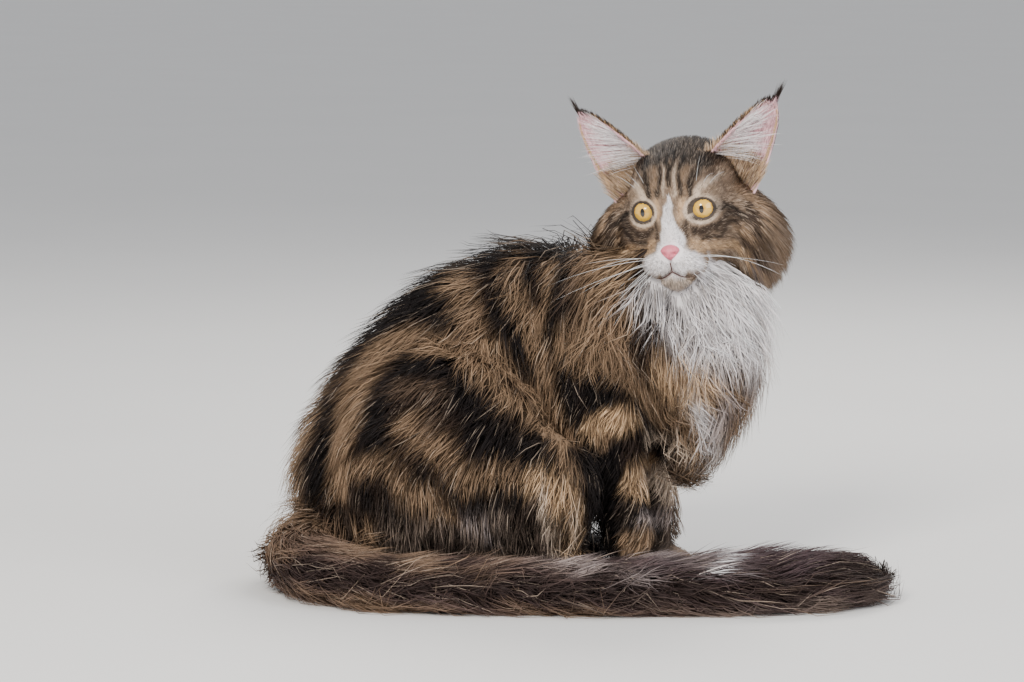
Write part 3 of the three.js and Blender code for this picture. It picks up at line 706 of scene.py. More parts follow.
def body_colours(points):
    """Tone of the coat anywhere off the head."""
    plan = side_plan(points) + wobble(points, 13) * 1.8 + wobble(points, 4.1) * 0.9
    colours = lay(plain("dark", len(points)), "grey", ease(110, 30, points[:, 2]) * 0.4)
    colours = lay(colours, "tan", ease(30, 60, plan[:, 0]) * 0.6)
    for mark in SIDE_MARKS:
        colours = stroke(colours, plan, *mark)
    bib_away, bib_nearest = limb_distance(points, LIMBS["bib"])
    facing = unit(points - LIMBS["bib"]["line"][bib_nearest]) @ CHEST_AHEAD
    pale = ease(0.1, 0.5, facing) * ease(178, 212, points[:, 2]) * ease(50, 34, bib_away)
    colours = lay(colours, "white", pale * ease(6, 30, plan[:, 0]))
    trunk = LIMBS["trunk"]
    away, nearest = limb_distance(points, trunk)
    over = points - trunk["line"][nearest]
    up = ease(0.2, 0.8, over[:, 2] / np.maximum(np.linalg.norm(over, axis=1), 1e-6))
    dorsal = ease(30, 16, np.abs(over[:, 0])) * up * ease(60, 20, plan[:, 0])
    colours = lay(colours, "black", dorsal * 0.9)
    tail_away, tail_nearest = limb_distance(points, LIMBS["tail"])
    on_tail = ease(30, 16, tail_away) * ease(6, -6, tail_away - away)
    tail = tail_colours(points, tail_nearest)
    return colours + (tail - colours) * on_tail[:, None]


def face_colours(points):
    """Tone of the head's coat, for points in the head's frame."""
    plan = np.stack((np.abs(points[:, 1]), points[:, 2]), axis=1)
    plan += wobble(points, 7) + wobble(points, 2.3) * 0.6
    colours = lay(plain("face", len(points)), "grey", ease(44, 62, plan[:, 0]) * 0.55)
    for mark in FACE_MARKS:
        colours = stroke(colours, plan, *mark, soft=1.9, strength=0.88)
    aside = EYE_AT[1] + EYE_RADIUS * math.sin(EYE_OUTWARD)
    eye = np.linalg.norm((np.abs(points[:, 1]) - aside, points[:, 2] * 1.12), axis=0)
    near = np.maximum(ease(aside + 4, aside - 6, plan[:, 0]), ease(-4, -10, plan[:, 1]))
    colours = lay(colours, "cream", ease(15.4, 13.2, eye) * (0.35 + 0.55 * near))
    colours = lay(colours, "black", ease(11.9, 11.1, eye) * 0.9)
    blaze = np.interp(plan[:, 1], (-30, -22, -14, -4, 6, 14, 18), (11, 10, 7.0, 5.0, 3.4, 1.6, -3.0))
    colours = lay(colours, "white", ease(blaze + 1.2, blaze - 1.0, plan[:, 0]) * ease(-70, -60, plan[:, 1]))
    for mark in MUZZLE_MARKS:
        colours = stroke(colours, plan, *mark)
    dots = [line_distance(plan, [(10 + 4 * i, -40 - 3.2 * j)]) for i in range(3) for j in range(3)]
    colours = lay(colours, "grey", ease(1.0, 0.4, np.minimum.reduce(dots)) * 0.35)
    behind = lay(plain("brown", len(points)), "black", ease(8, 36, points[:, 2]) * 0.9)
    behind = lay(behind, "tan", ease(-10, -40, points[:, 2]) * 0.6)
    return behind + (colours - behind) * ease(-16, 6, points[:, 0])[:, None]


# ----- materials
def new_material(name, roughness, **sockets):
    """A material with its nodes, links and shader; a socket's name has _ for each space."""
    material = bpy.data.materials.new(name)
    material.use_nodes = True
    shader = material.node_tree.nodes["Principled BSDF"]
    shader.inputs["Roughness"].default_value = roughness
    for key, value in sockets.items():
        shader.inputs[key.replace("_", " ")].default_value = value
    return material, material.node_tree.nodes, material.node_tree.links, shader


def object_pattern(nodes, links, kind, scale, **values):
    """A pattern in the piece's own space."""
    place = nodes.new("ShaderNodeTexCoord")
    pattern = nodes.new(kind)
    for key, value in dict(Scale=scale, **values).items():
        pattern.inputs[key].default_value = value
    links.new(place.outputs["Object"], pattern.inputs["Vector"])
    return pattern.outputs


def multiplied(nodes, links, a, b):
    """The product of two colours."""
    mix = nodes.new("ShaderNodeMix")
    mix.data_type = "RGBA"
    mix.blend_type = "MULTIPLY"
    mix.inputs["Factor"].default_value = 1.0
    links.new(a, mix.inputs["A"])
    links.new(b, mix.inputs["B"])
    return mix.outputs["Result"]


def shaded_by(nodes, links, colour, factor, low, high):
    """A colour made darker and lighter by a pattern."""
    spread = nodes.new("ShaderNodeMapRange")
    spread.inputs["To Min"].default_value = low
    spread.inputs["To Max"].default_value = high
    links.new(factor, spread.inputs["Value"])
    return multiplied(nodes, links, colour, spread.outputs["Result"])


def bump(nodes, links, shader, factor, strength, distance):
    """Give a shader a relief from a pattern."""
    node = nodes.new("ShaderNodeBump")
    node.inputs["Strength"].default_value = strength
    node.inputs["Distance"].default_value = distance
    links.new(factor, node.inputs["Height"])
    links.new(node.outputs["Normal"], shader.inputs["Normal"])


def varied_material(name, roughness, colour, scale, low, high, **sockets):
    """A finish of one colour, or of the piece's own tint where it is None, varied by a fine pattern."""
    material, nodes, links, shader = new_material(name, roughness, **sockets)
    if colour is None:
        own = nodes.new("ShaderNodeAttribute")
        own.attribute_name = "Tint"
        source = own.outputs["Color"]
    else:
        source = nodes.new("ShaderNodeRGB").outputs[0]
        source.default_value = (*colour, 1)
    noise = object_pattern(nodes, links, "ShaderNodeTexNoise", scale, Detail=3.0)["Fac"]
    links.new(shaded_by(nodes, links, source, noise, low, high), shader.inputs["Base Color"])
    return material, nodes, links, shader, noise


def coat_material():
    """The one finish that every piece of the coat shares."""
    material = bpy.data.materials.get("coat hair")
    if material is None:
        material, *_ = varied_material("coat hair", 0.62, None, 260, 0.82, 1.18, Specular_IOR_Level=0.18)
    return material


# ----- skin
GROUND = {}


def limb_balls(limb, across=None):
    """A limb's rounded masses, set square to its line, their width along the level or a given way."""
    pieces = []
    for middle, tangent, wide, deep in zip(limb["line"], limb["tangent"], limb["wide"], limb["deep"]):
        if across is None:
            side = unit(np.cross(tangent, UP))
        else:
            side = unit(across - tangent * (across @ tangent))
        normal = np.cross(tangent, side)
        pieces.append(ball(middle, (side, normal, tangent), (wide, deep, min(wide, deep)), 18, 10))
    return pieces


def paw_balls(paw, side, at, turn):
    """The rounded masses of a paw and its four toes."""
    axes = placed(np.eye(3), 1, 0, turn)
    middle = placed([(paw[0], paw[1], PAW_HEIGHT * 0.45)], side, at, turn)[0]
    pieces = [ball(middle, axes, (PAW_WIDTH / 2, PAW_LENGTH / 2, PAW_HEIGHT / 2.2))]
    for i in range(4):
        s = i - 1.5
        toe = (paw[0] + s * PAW_WIDTH * 0.235, paw[1] - PAW_LENGTH * (0.37 - 0.045 * s * s), TOE)
        pieces.append(ball(placed([toe], side, at, turn)[0], axes, (TOE * 0.7, TOE * 1.2, TOE * 0.95), 14, 8))
    return pieces


def head_shell():
    """The head's skin, met along rays from its middle, with its sockets and the line of its mouth."""
    bpy.ops.mesh.primitive_ico_sphere_add(subdivisions=7, radius=1)
    shell = named("skin_head")
    rays = unit(coordinates(shell))
    reach = np.full(len(rays), 130.0)
    for _ in range(RAY_STEPS):
        reach -= skull_distance(HEAD_MIDDLE + rays * reach[:, None], lids=True) * RAY_SHARE
    points = HEAD_MIDDLE + rays * reach[:, None]
    for side in (1, -1):
        middle = EYE_AT * (1, side, 1)
        local = (points - middle) @ eye_axes(side).T
        inside = (local[:, 0] > 0) & in_almond(local[:, 1:], 1.0)
        back = middle + unit(points - middle) * (EYE_RADIUS - 1.6)
        points[inside] = back[inside]
    front = points[:, 0] > 20
    for side in (1, -1):
        gap = line_distance(points[:, 1:], np.array(MOUTH) * (side, 1))
        depth = 1.7 * np.exp(-((gap / 1.1) ** 2)) * front
        points -= rays * depth[:, None]
    move_vertices(shell, world(from_head(points)))
    return shell


def in_almond(plane, grow):
    """Whether points of an eye's plane (aside, up) lie between its lids."""
    outline = np.array(ALMOND) * grow
    inside = np.zeros(len(plane), bool)
    for (ax, ay), (bx, by) in zip(outline, np.roll(outline, -1, axis=0)):
        crosses = (ay > plane[:, 1]) != (by > plane[:, 1])
        at = (bx - ax) * (plane[:, 1] - ay) / (by - ay + 1e-12) + ax
        inside ^= crosses & (plane[:, 0] < at)
    return inside


def ear_point(t, s):
    """A point of the left ear's leaf in the head's frame: root to tip (t), and across (s, -1 to 1)."""
    across = (EAR_OUTER - EAR_INNER) / 2
    opening = np.maximum(0.05, np.maximum(1 - np.maximum(t, EAR_FOOT), 0) ** EAR_BOW * (1 + 0.1 * t))
    cup = EAR_CUP * np.maximum(0.04, np.maximum(1 - t, 0) ** 0.9)
    at = (EAR_INNER + EAR_OUTER) / 2 * (1 - t)[:, None] + EAR_TIP * t[:, None]
    at = at + across * (s * opening)[:, None]
    at[:, 0] -= cup * (1 - s * s) - 1.1
    return at


def ear_shell(side):
    """The skin of one ear, as a thin cupped leaf."""
    bpy.ops.mesh.primitive_grid_add(x_subdivisions=26, y_subdivisions=26, size=2)
    ear = named("skin_ear")
    grid = coordinates(ear)
    t = (grid[:, 1] + 1) / 2 * (1 - EAR_FOOT) + EAR_FOOT
    points = ear_point(t, grid[:, 0]) * (1, side, 1)
    move_vertices(ear, world(from_head(points)))
    if side < 0:
        ear.data.flip_normals()
    modify(ear, "SOLIDIFY", thickness=EAR_THICK * M, offset=0.0)
    return ear


def ear_colours(ear):
    """Tone of an ear's skin: pale pink inside, dark behind."""
    normals = np.empty(len(ear.data.vertices) * 3)
    ear.data.vertices.foreach_get("normal", normals)
    behind = ease(0.1, -0.1, to_head(normals.reshape(-1, 3) + HEAD_AT)[:, 0])
    return lay(plain("pink", len(behind)), "dark", behind)


class CAT_OT_skin(bpy.types.Operator):
    """Build the skin of the whole cat, which carries the coat."""

    bl_idname = "cat.skin"
    bl_label = "Skin"

    def execute(self, context):
        clear_selection()
        pieces = []
        chest_across = placed([(1, 0, 0)], 1, 0, CHEST_TURN)[0]
        for name, limb in LIMBS.items():
            pieces += limb_balls(limb, chest_across if name.startswith("foreleg") else None)
        for side in (1, -1):
            pieces += paw_balls(FORE_PAW, side, CHEST_AT, CHEST_TURN)
            pieces += paw_balls(HIND_PAW, side, PELVIS_AT, 0.0)
            for middle, half in HAUNCH:
                pieces.append(ball(placed([middle], side, PELVIS_AT, 0.0)[0], np.eye(3), half, 32, 20))
        head = head_shell()
        clear_selection()
        solid_head = head.copy()
        solid_head.data = head.data.copy()
        context.collection.objects.link(solid_head)
        body = join(pieces + [solid_head], "skin_body")
        activate(body)
        bpy.ops.object.transform_apply(location=True, rotation=True, scale=True)
        modify(body, "REMESH", mode="VOXEL", voxel_size=VOXEL * M)
        modify(body, "SMOOTH", factor=0.5, iterations=7)
        store_ground(body)
        points = self.under_head(body)
        # The skin takes the coat's tones, darkened as painted shade under the coat.
        tint(body, body_colours(points) * 0.75)
        tint(head, face_colours(to_head(cat_points(head))) * 0.85)
        ears = [ear_shell(side) for side in (1, -1)]
        for ear in ears:
            tint(ear, ear_colours(ear))
        GROUND["head"] = triangles_of(head)
        skin = join([body, head] + ears, "skin")
        material, nodes, links, shader, noise = varied_material(
            "skin", 0.7, None, 180, 0.85, 1.12, Specular_IOR_Level=0.25
        )
        bump(nodes, links, shader, noise, 0.25, 0.4 * M)
        skin.data.materials.clear()
        skin.data.materials.append(material)
        bpy.ops.object.shade_smooth()
        legs = [f"{leg}_{side}" for leg in ("foreleg", "hind_leg") for side in ("left", "right")]
        ears = ["ear_left", "ear_right"]
        ride(skin, "coat", "head", "neck", "torso", *legs, *ears, "tail_1", "tail_2", "tail_3", "tail_4")
        return {"FINISHED"}

    def under_head(self, body):
        """Keep the body's skin over the floor and sink it below the head's finer skin."""
        points = cat_points(body)
        points[:, 2] = np.maximum(points[:, 2], SKIN_FLOOR)
        local = to_head(points)
        outward = unit(local - HEAD_MIDDLE) @ HEAD_AXES
        points -= outward * (3.0 * ease(5, 1, skull_distance(local)))[:, None]
        move_vertices(body, world(points))
        return points


def triangles_of(obj):
    """Corners of an object's triangles in the cat's frame, and normals as long as twice each area."""
    mesh = obj.data
    mesh.calc_loop_triangles()
    index = np.empty(len(mesh.loop_triangles) * 3, dtype=np.int32)
    mesh.loop_triangles.foreach_get("vertices", index)
    points = cat_points(obj)
    corners = points[index.reshape(-1, 3)]
    cross = np.cross(corners[:, 1] - corners[:, 0], corners[:, 2] - corners[:, 0])
    return corners, cross


def store_ground(obj):
    """Keep the skin's outer surface, which tufts are rooted on and follow."""
    mesh = obj.data
    points = cat_points(obj)
    faces = [tuple(p.vertices) for p in mesh.polygons]
    GROUND["tree"] = bvhtree.BVHTree.FromPolygons([Vector(p) for p in points], faces)
    GROUND["body"] = triangles_of(obj)


# ----- coat
def scatter(surface, count, random):
    """Roots spread over triangles by area, with their normals."""
    corners, cross = surface
    area = np.linalg.norm(cross, axis=1)
    upto = np.cumsum(area)
    where = (np.arange(count) + random.random(count)) / count * upto[-1]
    pick = np.minimum(np.searchsorted(upto, where), len(area) - 1)
    a, b = random.random(count), random.random(count)
    flip = a + b > 1
    a[flip], b[flip] = 1 - a[flip], 1 - b[flip]
    c = corners[pick]
    roots = c[:, 0] + (c[:, 1] - c[:, 0]) * a[:, None] + (c[:, 2] - c[:, 0]) * b[:, None]
    return roots, unit(cross[pick])


def on_ground(points):
    """Nearest places of the skin and their normals."""
    tree = GROUND["tree"]
    places, normals = np.empty_like(points), np.empty_like(points)
    for i, p in enumerate(points):
        place, normal, _, _ = tree.find_nearest(p)
        places[i] = place
        normals[i] = normal
    return places, normals


def region_weights(points):
    """How far each point belongs to each region."""
    found = []
    for region in REGIONS:
        if region == "haunch":
            d = np.minimum(haunch_distance(points, 1), haunch_distance(points, -1))
        elif region == "foreleg":
            legs = ("foreleg_left", "foreleg_right")
            d = np.minimum(*(limb_distance(points, LIMBS[leg])[0] for leg in legs)) - 3
        else:
            d = limb_distance(points, LIMBS[region])[0]
        found.append(d)
    d = np.stack(found, axis=1)
    weights = np.exp(-(d - d.min(axis=1, keepdims=True)) / REGION_BLEND)
    return weights / weights.sum(axis=1, keepdims=True)


def lie_of(points, normals, weights):
    """The way the coat lies, over the skin."""
    nose = from_head(NOSE_AT)
    away = unit(points - nose)
    hang = points[:, 2:3]
    tail = LIMBS["tail"]["tangent"][limb_distance(points, LIMBS["tail"])[1]]
    ways = {
        "trunk": unit(points - WITHERS) + DOWN * 0.35,
        "neck": unit(away * (1, 1, 0)) * 0.55 + DOWN,
        "bib": away * (0.3, 0.3, 0) + DOWN,
        "haunch": np.hstack((np.zeros_like(hang), 0.1 + 0.8 * ease(90, 140, hang), -np.ones_like(hang))),
        "foreleg": np.tile((0.0, 0.25, -1.0), (len(points), 1)),
        "tail": tail + normals * 0.1 + DOWN * 0.12,
    }
    way = sum(unit(ways[region]) * weights[:, i : i + 1] for i, region in enumerate(REGIONS))
    way = way - normals * np.sum(way * normals, axis=1, keepdims=True)
    return unit(way)


def turned(ways, normals, angles):
    """Ways turned about their normals."""
    return ways * np.cos(angles)[:, None] + np.cross(normals, ways) * np.sin(angles)[:, None]


def walk(roots, normals, length, lift, steps, lie, angles, sink):
    """Lines that leave their roots and follow the skin while they rise from it."""
    paths, ups = [roots - normals * sink], [normals]
    here, up = roots, normals
    for k in range(1, steps + 1):
        way = turned(lie(here, up), up, angles)
        here, up = on_ground(here + way * (length / steps)[:, None])
        rise = lift * (k / steps) ** 0.8
        point = here + up * rise[:, None]
        point[:, 2] = np.maximum(point[:, 2], LINE_FLOOR)
        paths.append(point)
        ups.append(up)
    return np.stack(paths, axis=1), np.stack(ups, axis=1)


def leaders(roots, spacing, random):
    """For each root, the place in the list of the root that leads its lock."""
    cells = {}
    for i in random.permutation(len(roots)):
        cells.setdefault(tuple((roots[i] // spacing).astype(int)), i)
    tree = kdtree.KDTree(len(cells))
    for i in cells.values():
        tree.insert(roots[i], i)
    tree.balance()
    return np.array([tree.find(p)[1] for p in roots])


def gathered(paths, lead, amount, power):
    """Draw lines towards their leaders' lines, more at the tips."""
    steps = paths.shape[1] - 1
    share = (np.arange(steps + 1) / steps) ** power
    pull = np.asarray(amount).reshape(-1, 1, 1) * share[None, :, None]
    return paths + (paths[lead] - paths) * pull


def blades(name, paths, ups, widths, colours, bake):
    """A mesh of thin three-sided tufts, closed and drawn to points, with their colours and bake patches."""
    count, rings = paths.shape[0], paths.shape[1] - 1
    ahead = unit(np.gradient(paths, axis=1))
    sides = unit(np.cross(ahead, ups))
    tapers = {2: np.array((0.8, 0.85)), 3: np.array((0.75, 1.0, 0.72))}
    taper = tapers.get(rings, np.linspace(1.1, 0.25, rings))
    half = (widths[:, None] * taper)[..., None] / 2
    body, side, up = paths[:, :rings], sides[:, :rings], ups[:, :rings]
    ring = np.stack((body + side * half, body + up * half * 0.9, body - side * half), axis=2)
    per = rings * 3 + 1
    verts = np.empty((count, per, 3))
    verts[:, :-1] = ring.reshape(count, rings * 3, 3)
    verts[:, -1] = paths[:, -1]
    verts[..., 2] = np.maximum(verts[..., 2], TUFT_FLOOR)
    faces = [(0, 1, 2)]
    for r in range(rings - 1):
        for k in range(3):
            a, b = r * 3 + k, r * 3 + (k + 1) % 3
            faces += [(a, a + 3, b), (b, a + 3, b + 3)]
    end = (rings - 1) * 3
    faces += [(end + k, end + 3, end + (k + 1) % 3) for k in range(3)]
    faces = np.array(faces)
    index = (faces[None] + (np.arange(count) * per)[:, None, None]).reshape(-1)
    mesh = bpy.data.meshes.new(name)
    mesh.vertices.add(count * per)
    mesh.vertices.foreach_set("co", world(verts.reshape(-1, 3)).ravel())
    mesh.loops.add(len(index))
    mesh.loops.foreach_set("vertex_index", index.astype(np.int32))
    mesh.polygons.add(len(index) // 3)
    mesh.polygons.foreach_set("loop_start", np.arange(0, len(index), 3, dtype=np.int32))
    mesh.polygons.foreach_set("use_smooth", np.ones(len(index) // 3, dtype=bool))
    mesh.update(calc_edges=True)
    shades = np.repeat(colours, 3, axis=1)[:, : per - 1]
    shades = np.concatenate((shades, colours[:, -1:]), axis=1).reshape(-1, 3)
    patch = np.empty((per, 2))
    patch[:-1, 0] = np.tile((0.0, 0.0015, 0.003), rings)
    patch[:-1, 1] = np.repeat(np.arange(rings) / rings * 0.003, 3)
    patch[-1] = (0.0015, 0.003)
    spots = (np.clip(bake, 0, 1)[:, None] * 0.996 + patch[None]).reshape(-1, 2)
    mesh.uv_layers.new(name="OFBake").data.foreach_set("uv", spots[index].astype(np.float32).ravel())
    obj = bpy.data.objects.new(name, mesh)
    bpy.context.collection.objects.link(obj)
    tint(obj, shades)
    mesh.materials.append(coat_material())
    return obj


def round_place(points, middle, axis, start):
    """Place of points on an unwrap of a form round an axis: turn and height, each 0 to 1."""
    axis = unit(np.asarray(axis, float))
    start = unit(np.cross(np.cross(axis, start), axis))
    across = np.cross(axis, start)
    p = points - middle
    turn = np.arctan2(p @ across, p @ start) / (2 * math.pi) + 0.5
    height = p @ axis
    return np.stack((turn, (height - height.min()) / max(np.ptp(height), 1e-6)), axis=1)


def unwrap(region, roots):
    """Roots on the region's own unwrap: along and round the tail, and round an axis elsewhere."""
    if region == "tail":
        limb = LIMBS["tail"]
        nearest = limb_distance(roots, limb)[1]
        over = roots - limb["line"][nearest]
        side = unit(np.cross(limb["tangent"][nearest], UP))
        turn = np.arctan2(over[:, 2], np.sum(over * side, axis=1)) / (2 * math.pi) + 0.5
        along = nearest + np.sum(over * limb["tangent"][nearest], axis=1) / 14
        return np.stack((turn, np.clip(along / len(limb["line"]), 0, 1)), axis=1)
    axes = {
        "trunk": ((0, 120, 150), (0, 1, -0.35), (1, 0, 0)),
        "neck": ((-20, -20, 250), (0, 0, 1), (0, 1, 0)),
        "bib": ((-44, -50, 210), (0, 0, 1), (0, 1, 0)),
        "haunch": ((0, 110, 90), (0, 0, 1), (0, 1, 0)),
        "foreleg": ((-12, -8, 100), (0, 0, 1), (0, 1, 0)),
    }
    middle, axis, start = axes[region]
    return round_place(roots, np.array(middle, float), axis, np.array(start, float))


def ringed(paths, tone_at, mixed=0.45):
    """A colour for each ring of each line: the tone where the ring lies, drawn towards the line's own."""
    count, rings = paths.shape[:2]
    back = paths.copy()
    back[:, 1:] += (paths[:, :-1] - paths[:, 1:]) * 0.35
    local = tone_at(back.reshape(-1, 3)).reshape(count, rings, 3)
    own = local[:, [rings // 2]]
    return local * (1 - mixed) + own * mixed


def shaded(colours, random, own, streaks=0.06):
    """Rings dark at the root and full at the tip, each line a little lighter or darker, and some ticked; the
    dark root is partly the undercoat's own tone and partly painted shade among the hairs.
    """
    rings = colours.shape[1]
    # Painted shade, partly the undercoat's own darker tone: the rings darken towards the root.
    shade = np.interp(np.linspace(0, 1, rings), (0, 0.35, 0.75, 1), (0.4, 0.8, 1.0, 1.08))
    own = own * (0.86 + 0.28 * random.random(len(own)))
    tick = random.random(len(own))[:, None, None]
    colours = colours + (TONE["cream"] - colours) * (tick < streaks) * 0.3
    colours = colours + (TONE["black"] - colours) * (tick > 1 - streaks) * 0.4
    return np.clip(colours * shade[None, :, None] * own[:, None, None], 0, 1)


def split(title, slot, own, paths, ups, widths, colours, bake):
    """Make the tufts listed as one or more pieces of the coat, each small enough."""
    triangles = (paths.shape[1] - 1) * 6 - 2
    parts = max(1, math.ceil(len(own) * triangles / PIECE_LIMIT))
    for i in range(parts):
        span = slice(len(own) * i // parts, len(own) * (i + 1) // parts)
        pick = own[span]
        name = title if parts == 1 else f"{title}_{i + 1}"
        ride(blades(name, paths[pick], ups[pick], widths[pick], colours[pick], bake[span]), slot)


class CAT_OT_body_coat(bpy.types.Operator):
    """Grow the coat of the trunk, ruff, legs and tail: a fine undercoat and longer hair over it."""

    bl_idname = "cat.body_coat"
    bl_label = "Body coat"

    def execute(self, context):
        coat = context.scene.cat_coat
        random = np.random.default_rng(coat.seed)
        for layer in LAYERS:
            self.grow(coat, random, layer)
        return {"FINISHED"}

    def shape(self, roots, normals, weights, region):
        """Length and lift at each root, and how far it is on a paw or on the long hair of a knee."""
        length = weights @ np.array([COAT[r][0] for r in REGIONS], float)
        lift = weights @ np.array([COAT[r][1] for r in REGIONS], float)
        back, high = roots[:, 1], roots[:, 2]
        paw = ease(44, 22, high) * region["foreleg"]
        foot = ease(30, 12, high) * ease(70, 50, back) * region["haunch"]
        short = np.maximum(paw, foot)
        feather = ease(0.1, 0.7, np.abs(normals[:, 1])) * (region["foreleg"] * ease(40, 60, high))
        knee = region["haunch"] * ease(80, 50, back) * ease(30, 50, high) * ease(130, 100, high)
        length = length * (1 - 0.62 * short) + 16 * feather + 12 * knee
        lift = lift * (1 - 0.7 * short) + 4 * feather + 4 * knee
        lift = lift * (1 - 0.45 * (region["tail"] * ease(0.1, 0.8, normals[:, 2])))
        return length, lift, short, knee

    def grow(self, coat, random, layer):
        """Make one layer of the coat, a piece or more for each region."""
        roots, normals = scatter(GROUND["body"], int(coat.body_tufts * layer["share"]), random)
        local = to_head(roots)
        off = skull_distance(local)
        face = (off < FACE_OFF) & (local[:, 0] > 0)
        face &= (np.abs(local[:, 1]) < FACE_ASIDE) & (local[:, 2] > FACE_CHIN)
        keep = (off > 1.0) & ~face & ((roots[:, 2] > 5) | (normals[:, 2] > -0.3))
        roots, normals = on_ground(roots[keep])
        weights = region_weights(roots)
        region = {name: weights[:, i] for i, name in enumerate(REGIONS)}
        length, lift, short, knee = self.shape(roots, normals, weights, region)
        count = len(roots)
        locks = leaders(roots, coat.lock_spacing, random)
        strands = leaders(roots, coat.strand_spacing, random)
        loose = 1 - 0.2 * region["tail"]
        turn = (((random.random(count) - 0.5) * 0.7)[locks] + (random.random(count) - 0.5) * 0.6) * loose
        rise = (0.66 + 0.6 * random.random(count))[locks] * (0.65 + 0.7 * random.random(count))
        reach = length * layer["length"] * (0.72 + 0.5 * random.random(count))
        paths, ups = walk(
            roots, normals, reach, lift * layer["lift"] * rise, layer["steps"],
            lambda p, n: lie_of(p, n, weights), turn, 2.0,
        )
        wavy = np.maximum(knee, 0.5 * region["bib"]) * 5
        side = unit(np.cross(paths[:, -1] - paths[:, 0], normals))
        phase = (random.random(count) * 6.28)[strands]
        for k in range(1, layer["steps"] + 1):
            paths[:, k] += side * (wavy * np.sin(phase + 2.4 * k))[:, None]
        paths = gathered(paths, locks, 0.28, 1.4)
        paths = gathered(paths, strands, coat.gather * (0.5 + 0.5 * random.random(count)), 1.6)
        shade = (0.86 + 0.26 * random.random(count))[locks] * (0.92 + 0.16 * random.random(count))[strands]
        colours = shaded(ringed(paths, body_colours), random, shade)
        widths = coat.body_width * (0.7 + 0.6 * random.random(count)) * (1 - 0.4 * short)
        main = weights.argmax(axis=1)
        slots = {"tail": "tail", "neck": "ruff", "bib": "ruff"}
        for i, name in enumerate(REGIONS):
            own = np.flatnonzero(main == i)
            own = own[np.argsort(roots[own, 1], kind="stable")]
            bake = unwrap(name, roots[own])
            split(f"{layer['name']}_{name}", slots.get(name, "coat"), own, paths, ups, widths, colours, bake)


class CAT_OT_head_coat(bpy.types.Operator):
    """Grow the coat of the face, crown and cheeks."""

    bl_idname = "cat.head_coat"
    bl_label = "Head coat"

    def execute(self, context):
        coat = context.scene.cat_coat
        random = np.random.default_rng(coat.seed + 1)
        corners, cross = GROUND["head"]
        middle = to_head(corners.mean(axis=1))
        front = ease(-20, 20, middle[:, 0])
        surface = corners, cross * (0.45 + 0.9 * front)[:, None]
        roots, normals = scatter(surface, coat.head_tufts, random)
        local = to_head(roots)
        keep = skull_distance(local) > -1.2
        for side in (1, -1):
            eye = (local - EYE_AT * (1, side, 1)) @ eye_axes(side).T
            keep &= ~(in_almond(eye[:, 1:], 1.1) & (eye[:, 0] > 0))
            keep &= ~((line_distance(local[:, 1:], np.array(MOUTH) * (side, 1)) < 0.8) & (local[:, 0] > 30))
        nose = np.linalg.norm((local - NOSE_AT) / (NOSE_HALF + 0.6), axis=1)
        keep &= nose > 1
        roots, normals, local = roots[keep], normals[keep], local[keep]
        places, ground = on_ground(roots)
        shown = np.sum((roots - places) * ground, axis=1) >= -HEAD_DEPTH
        roots, normals, local = roots[shown], normals[shown], local[shown]
        away = np.linalg.norm(local - NOSE_AT, axis=1)
        aside = ease(30, 52, np.abs(local[:, 1])) * ease(14, -8, local[:, 2]) * ease(42, 10, local[:, 0])
        behind = ease(0, -35, local[:, 0])
        crown = ease(24, 40, local[:, 2])
        length = 2.6 + 0.085 * np.maximum(away - 12, 0) + 17 * aside + 12 * behind + 3 * crown
        chin = ease(-50, -62, local[:, 2]) * ease(20, 35, local[:, 0])
        length += 6 * chin
        eyes = [local[:, 1:] - EYE_AT[1:] * (side, 1) for side in (1, -1)]
        brow = np.minimum(*(np.linalg.norm(eye, axis=1) for eye in eyes))
        length *= 0.55 + 0.45 * ease(13, 24, brow)
        lift = (0.22 + 0.12 * crown + 0.26 * aside) * length + 0.3
        radial = local - NOSE_AT + np.array((0, 0, -6.0)) * ease(40, 60, away)[:, None]
        radial[:, 2] += 8 * ease(30, 5, np.abs(local[:, 1])) * ease(0, 20, local[:, 2])
        way = unit(radial) @ HEAD_AXES + DOWN * (0.95 * np.maximum(aside, 0.6 * chin))[:, None]
        way = unit(way - normals * np.sum(way * normals, axis=1, keepdims=True))
        strands = leaders(roots, 3.4, random)
        turn = (random.random(len(roots)) - 0.5) * 0.3 + ((random.random(len(roots)) - 0.5) * 0.45)[strands]
        way = turned(way, normals, turn)
        steps = 2
        vary = 0.75 + 0.45 * random.random(len(roots))
        share = np.linspace(0, 1, steps + 1)
        drop = DOWN * (13 * aside)[:, None]
        paths = np.stack(
            [
                roots
                + way * (length * vary * s)[:, None]
                + normals * (lift * s**0.8 - 0.9 * (1 - s))[:, None]
                + drop * s * s
                for s in share
            ],
            axis=1,
        )
        ups = np.repeat(normals[:, None], steps + 1, axis=1)
        paths = gathered(paths, strands, 0.5 * coat.gather + 0.25 * aside, 1.4)
        shade = (0.88 + 0.22 * random.random(len(roots)))[strands]
        colours = shaded(ringed(paths, lambda p: face_colours(to_head(p))), random, shade, streaks=0.14)
        widths = coat.face_width * (0.75 + 0.5 * random.random(len(roots)))
        widths = widths * (1 + 0.7 * np.maximum(aside, behind))
        bake = round_place(roots, from_head(HEAD_MIDDLE), HEAD_AXES[0], HEAD_AXES[2])
        order = np.argsort(local[:, 0], kind="stable")
        split("coat_head", "coat", order, paths, ups, widths, colours, bake[order])
        return {"FINISHED"}


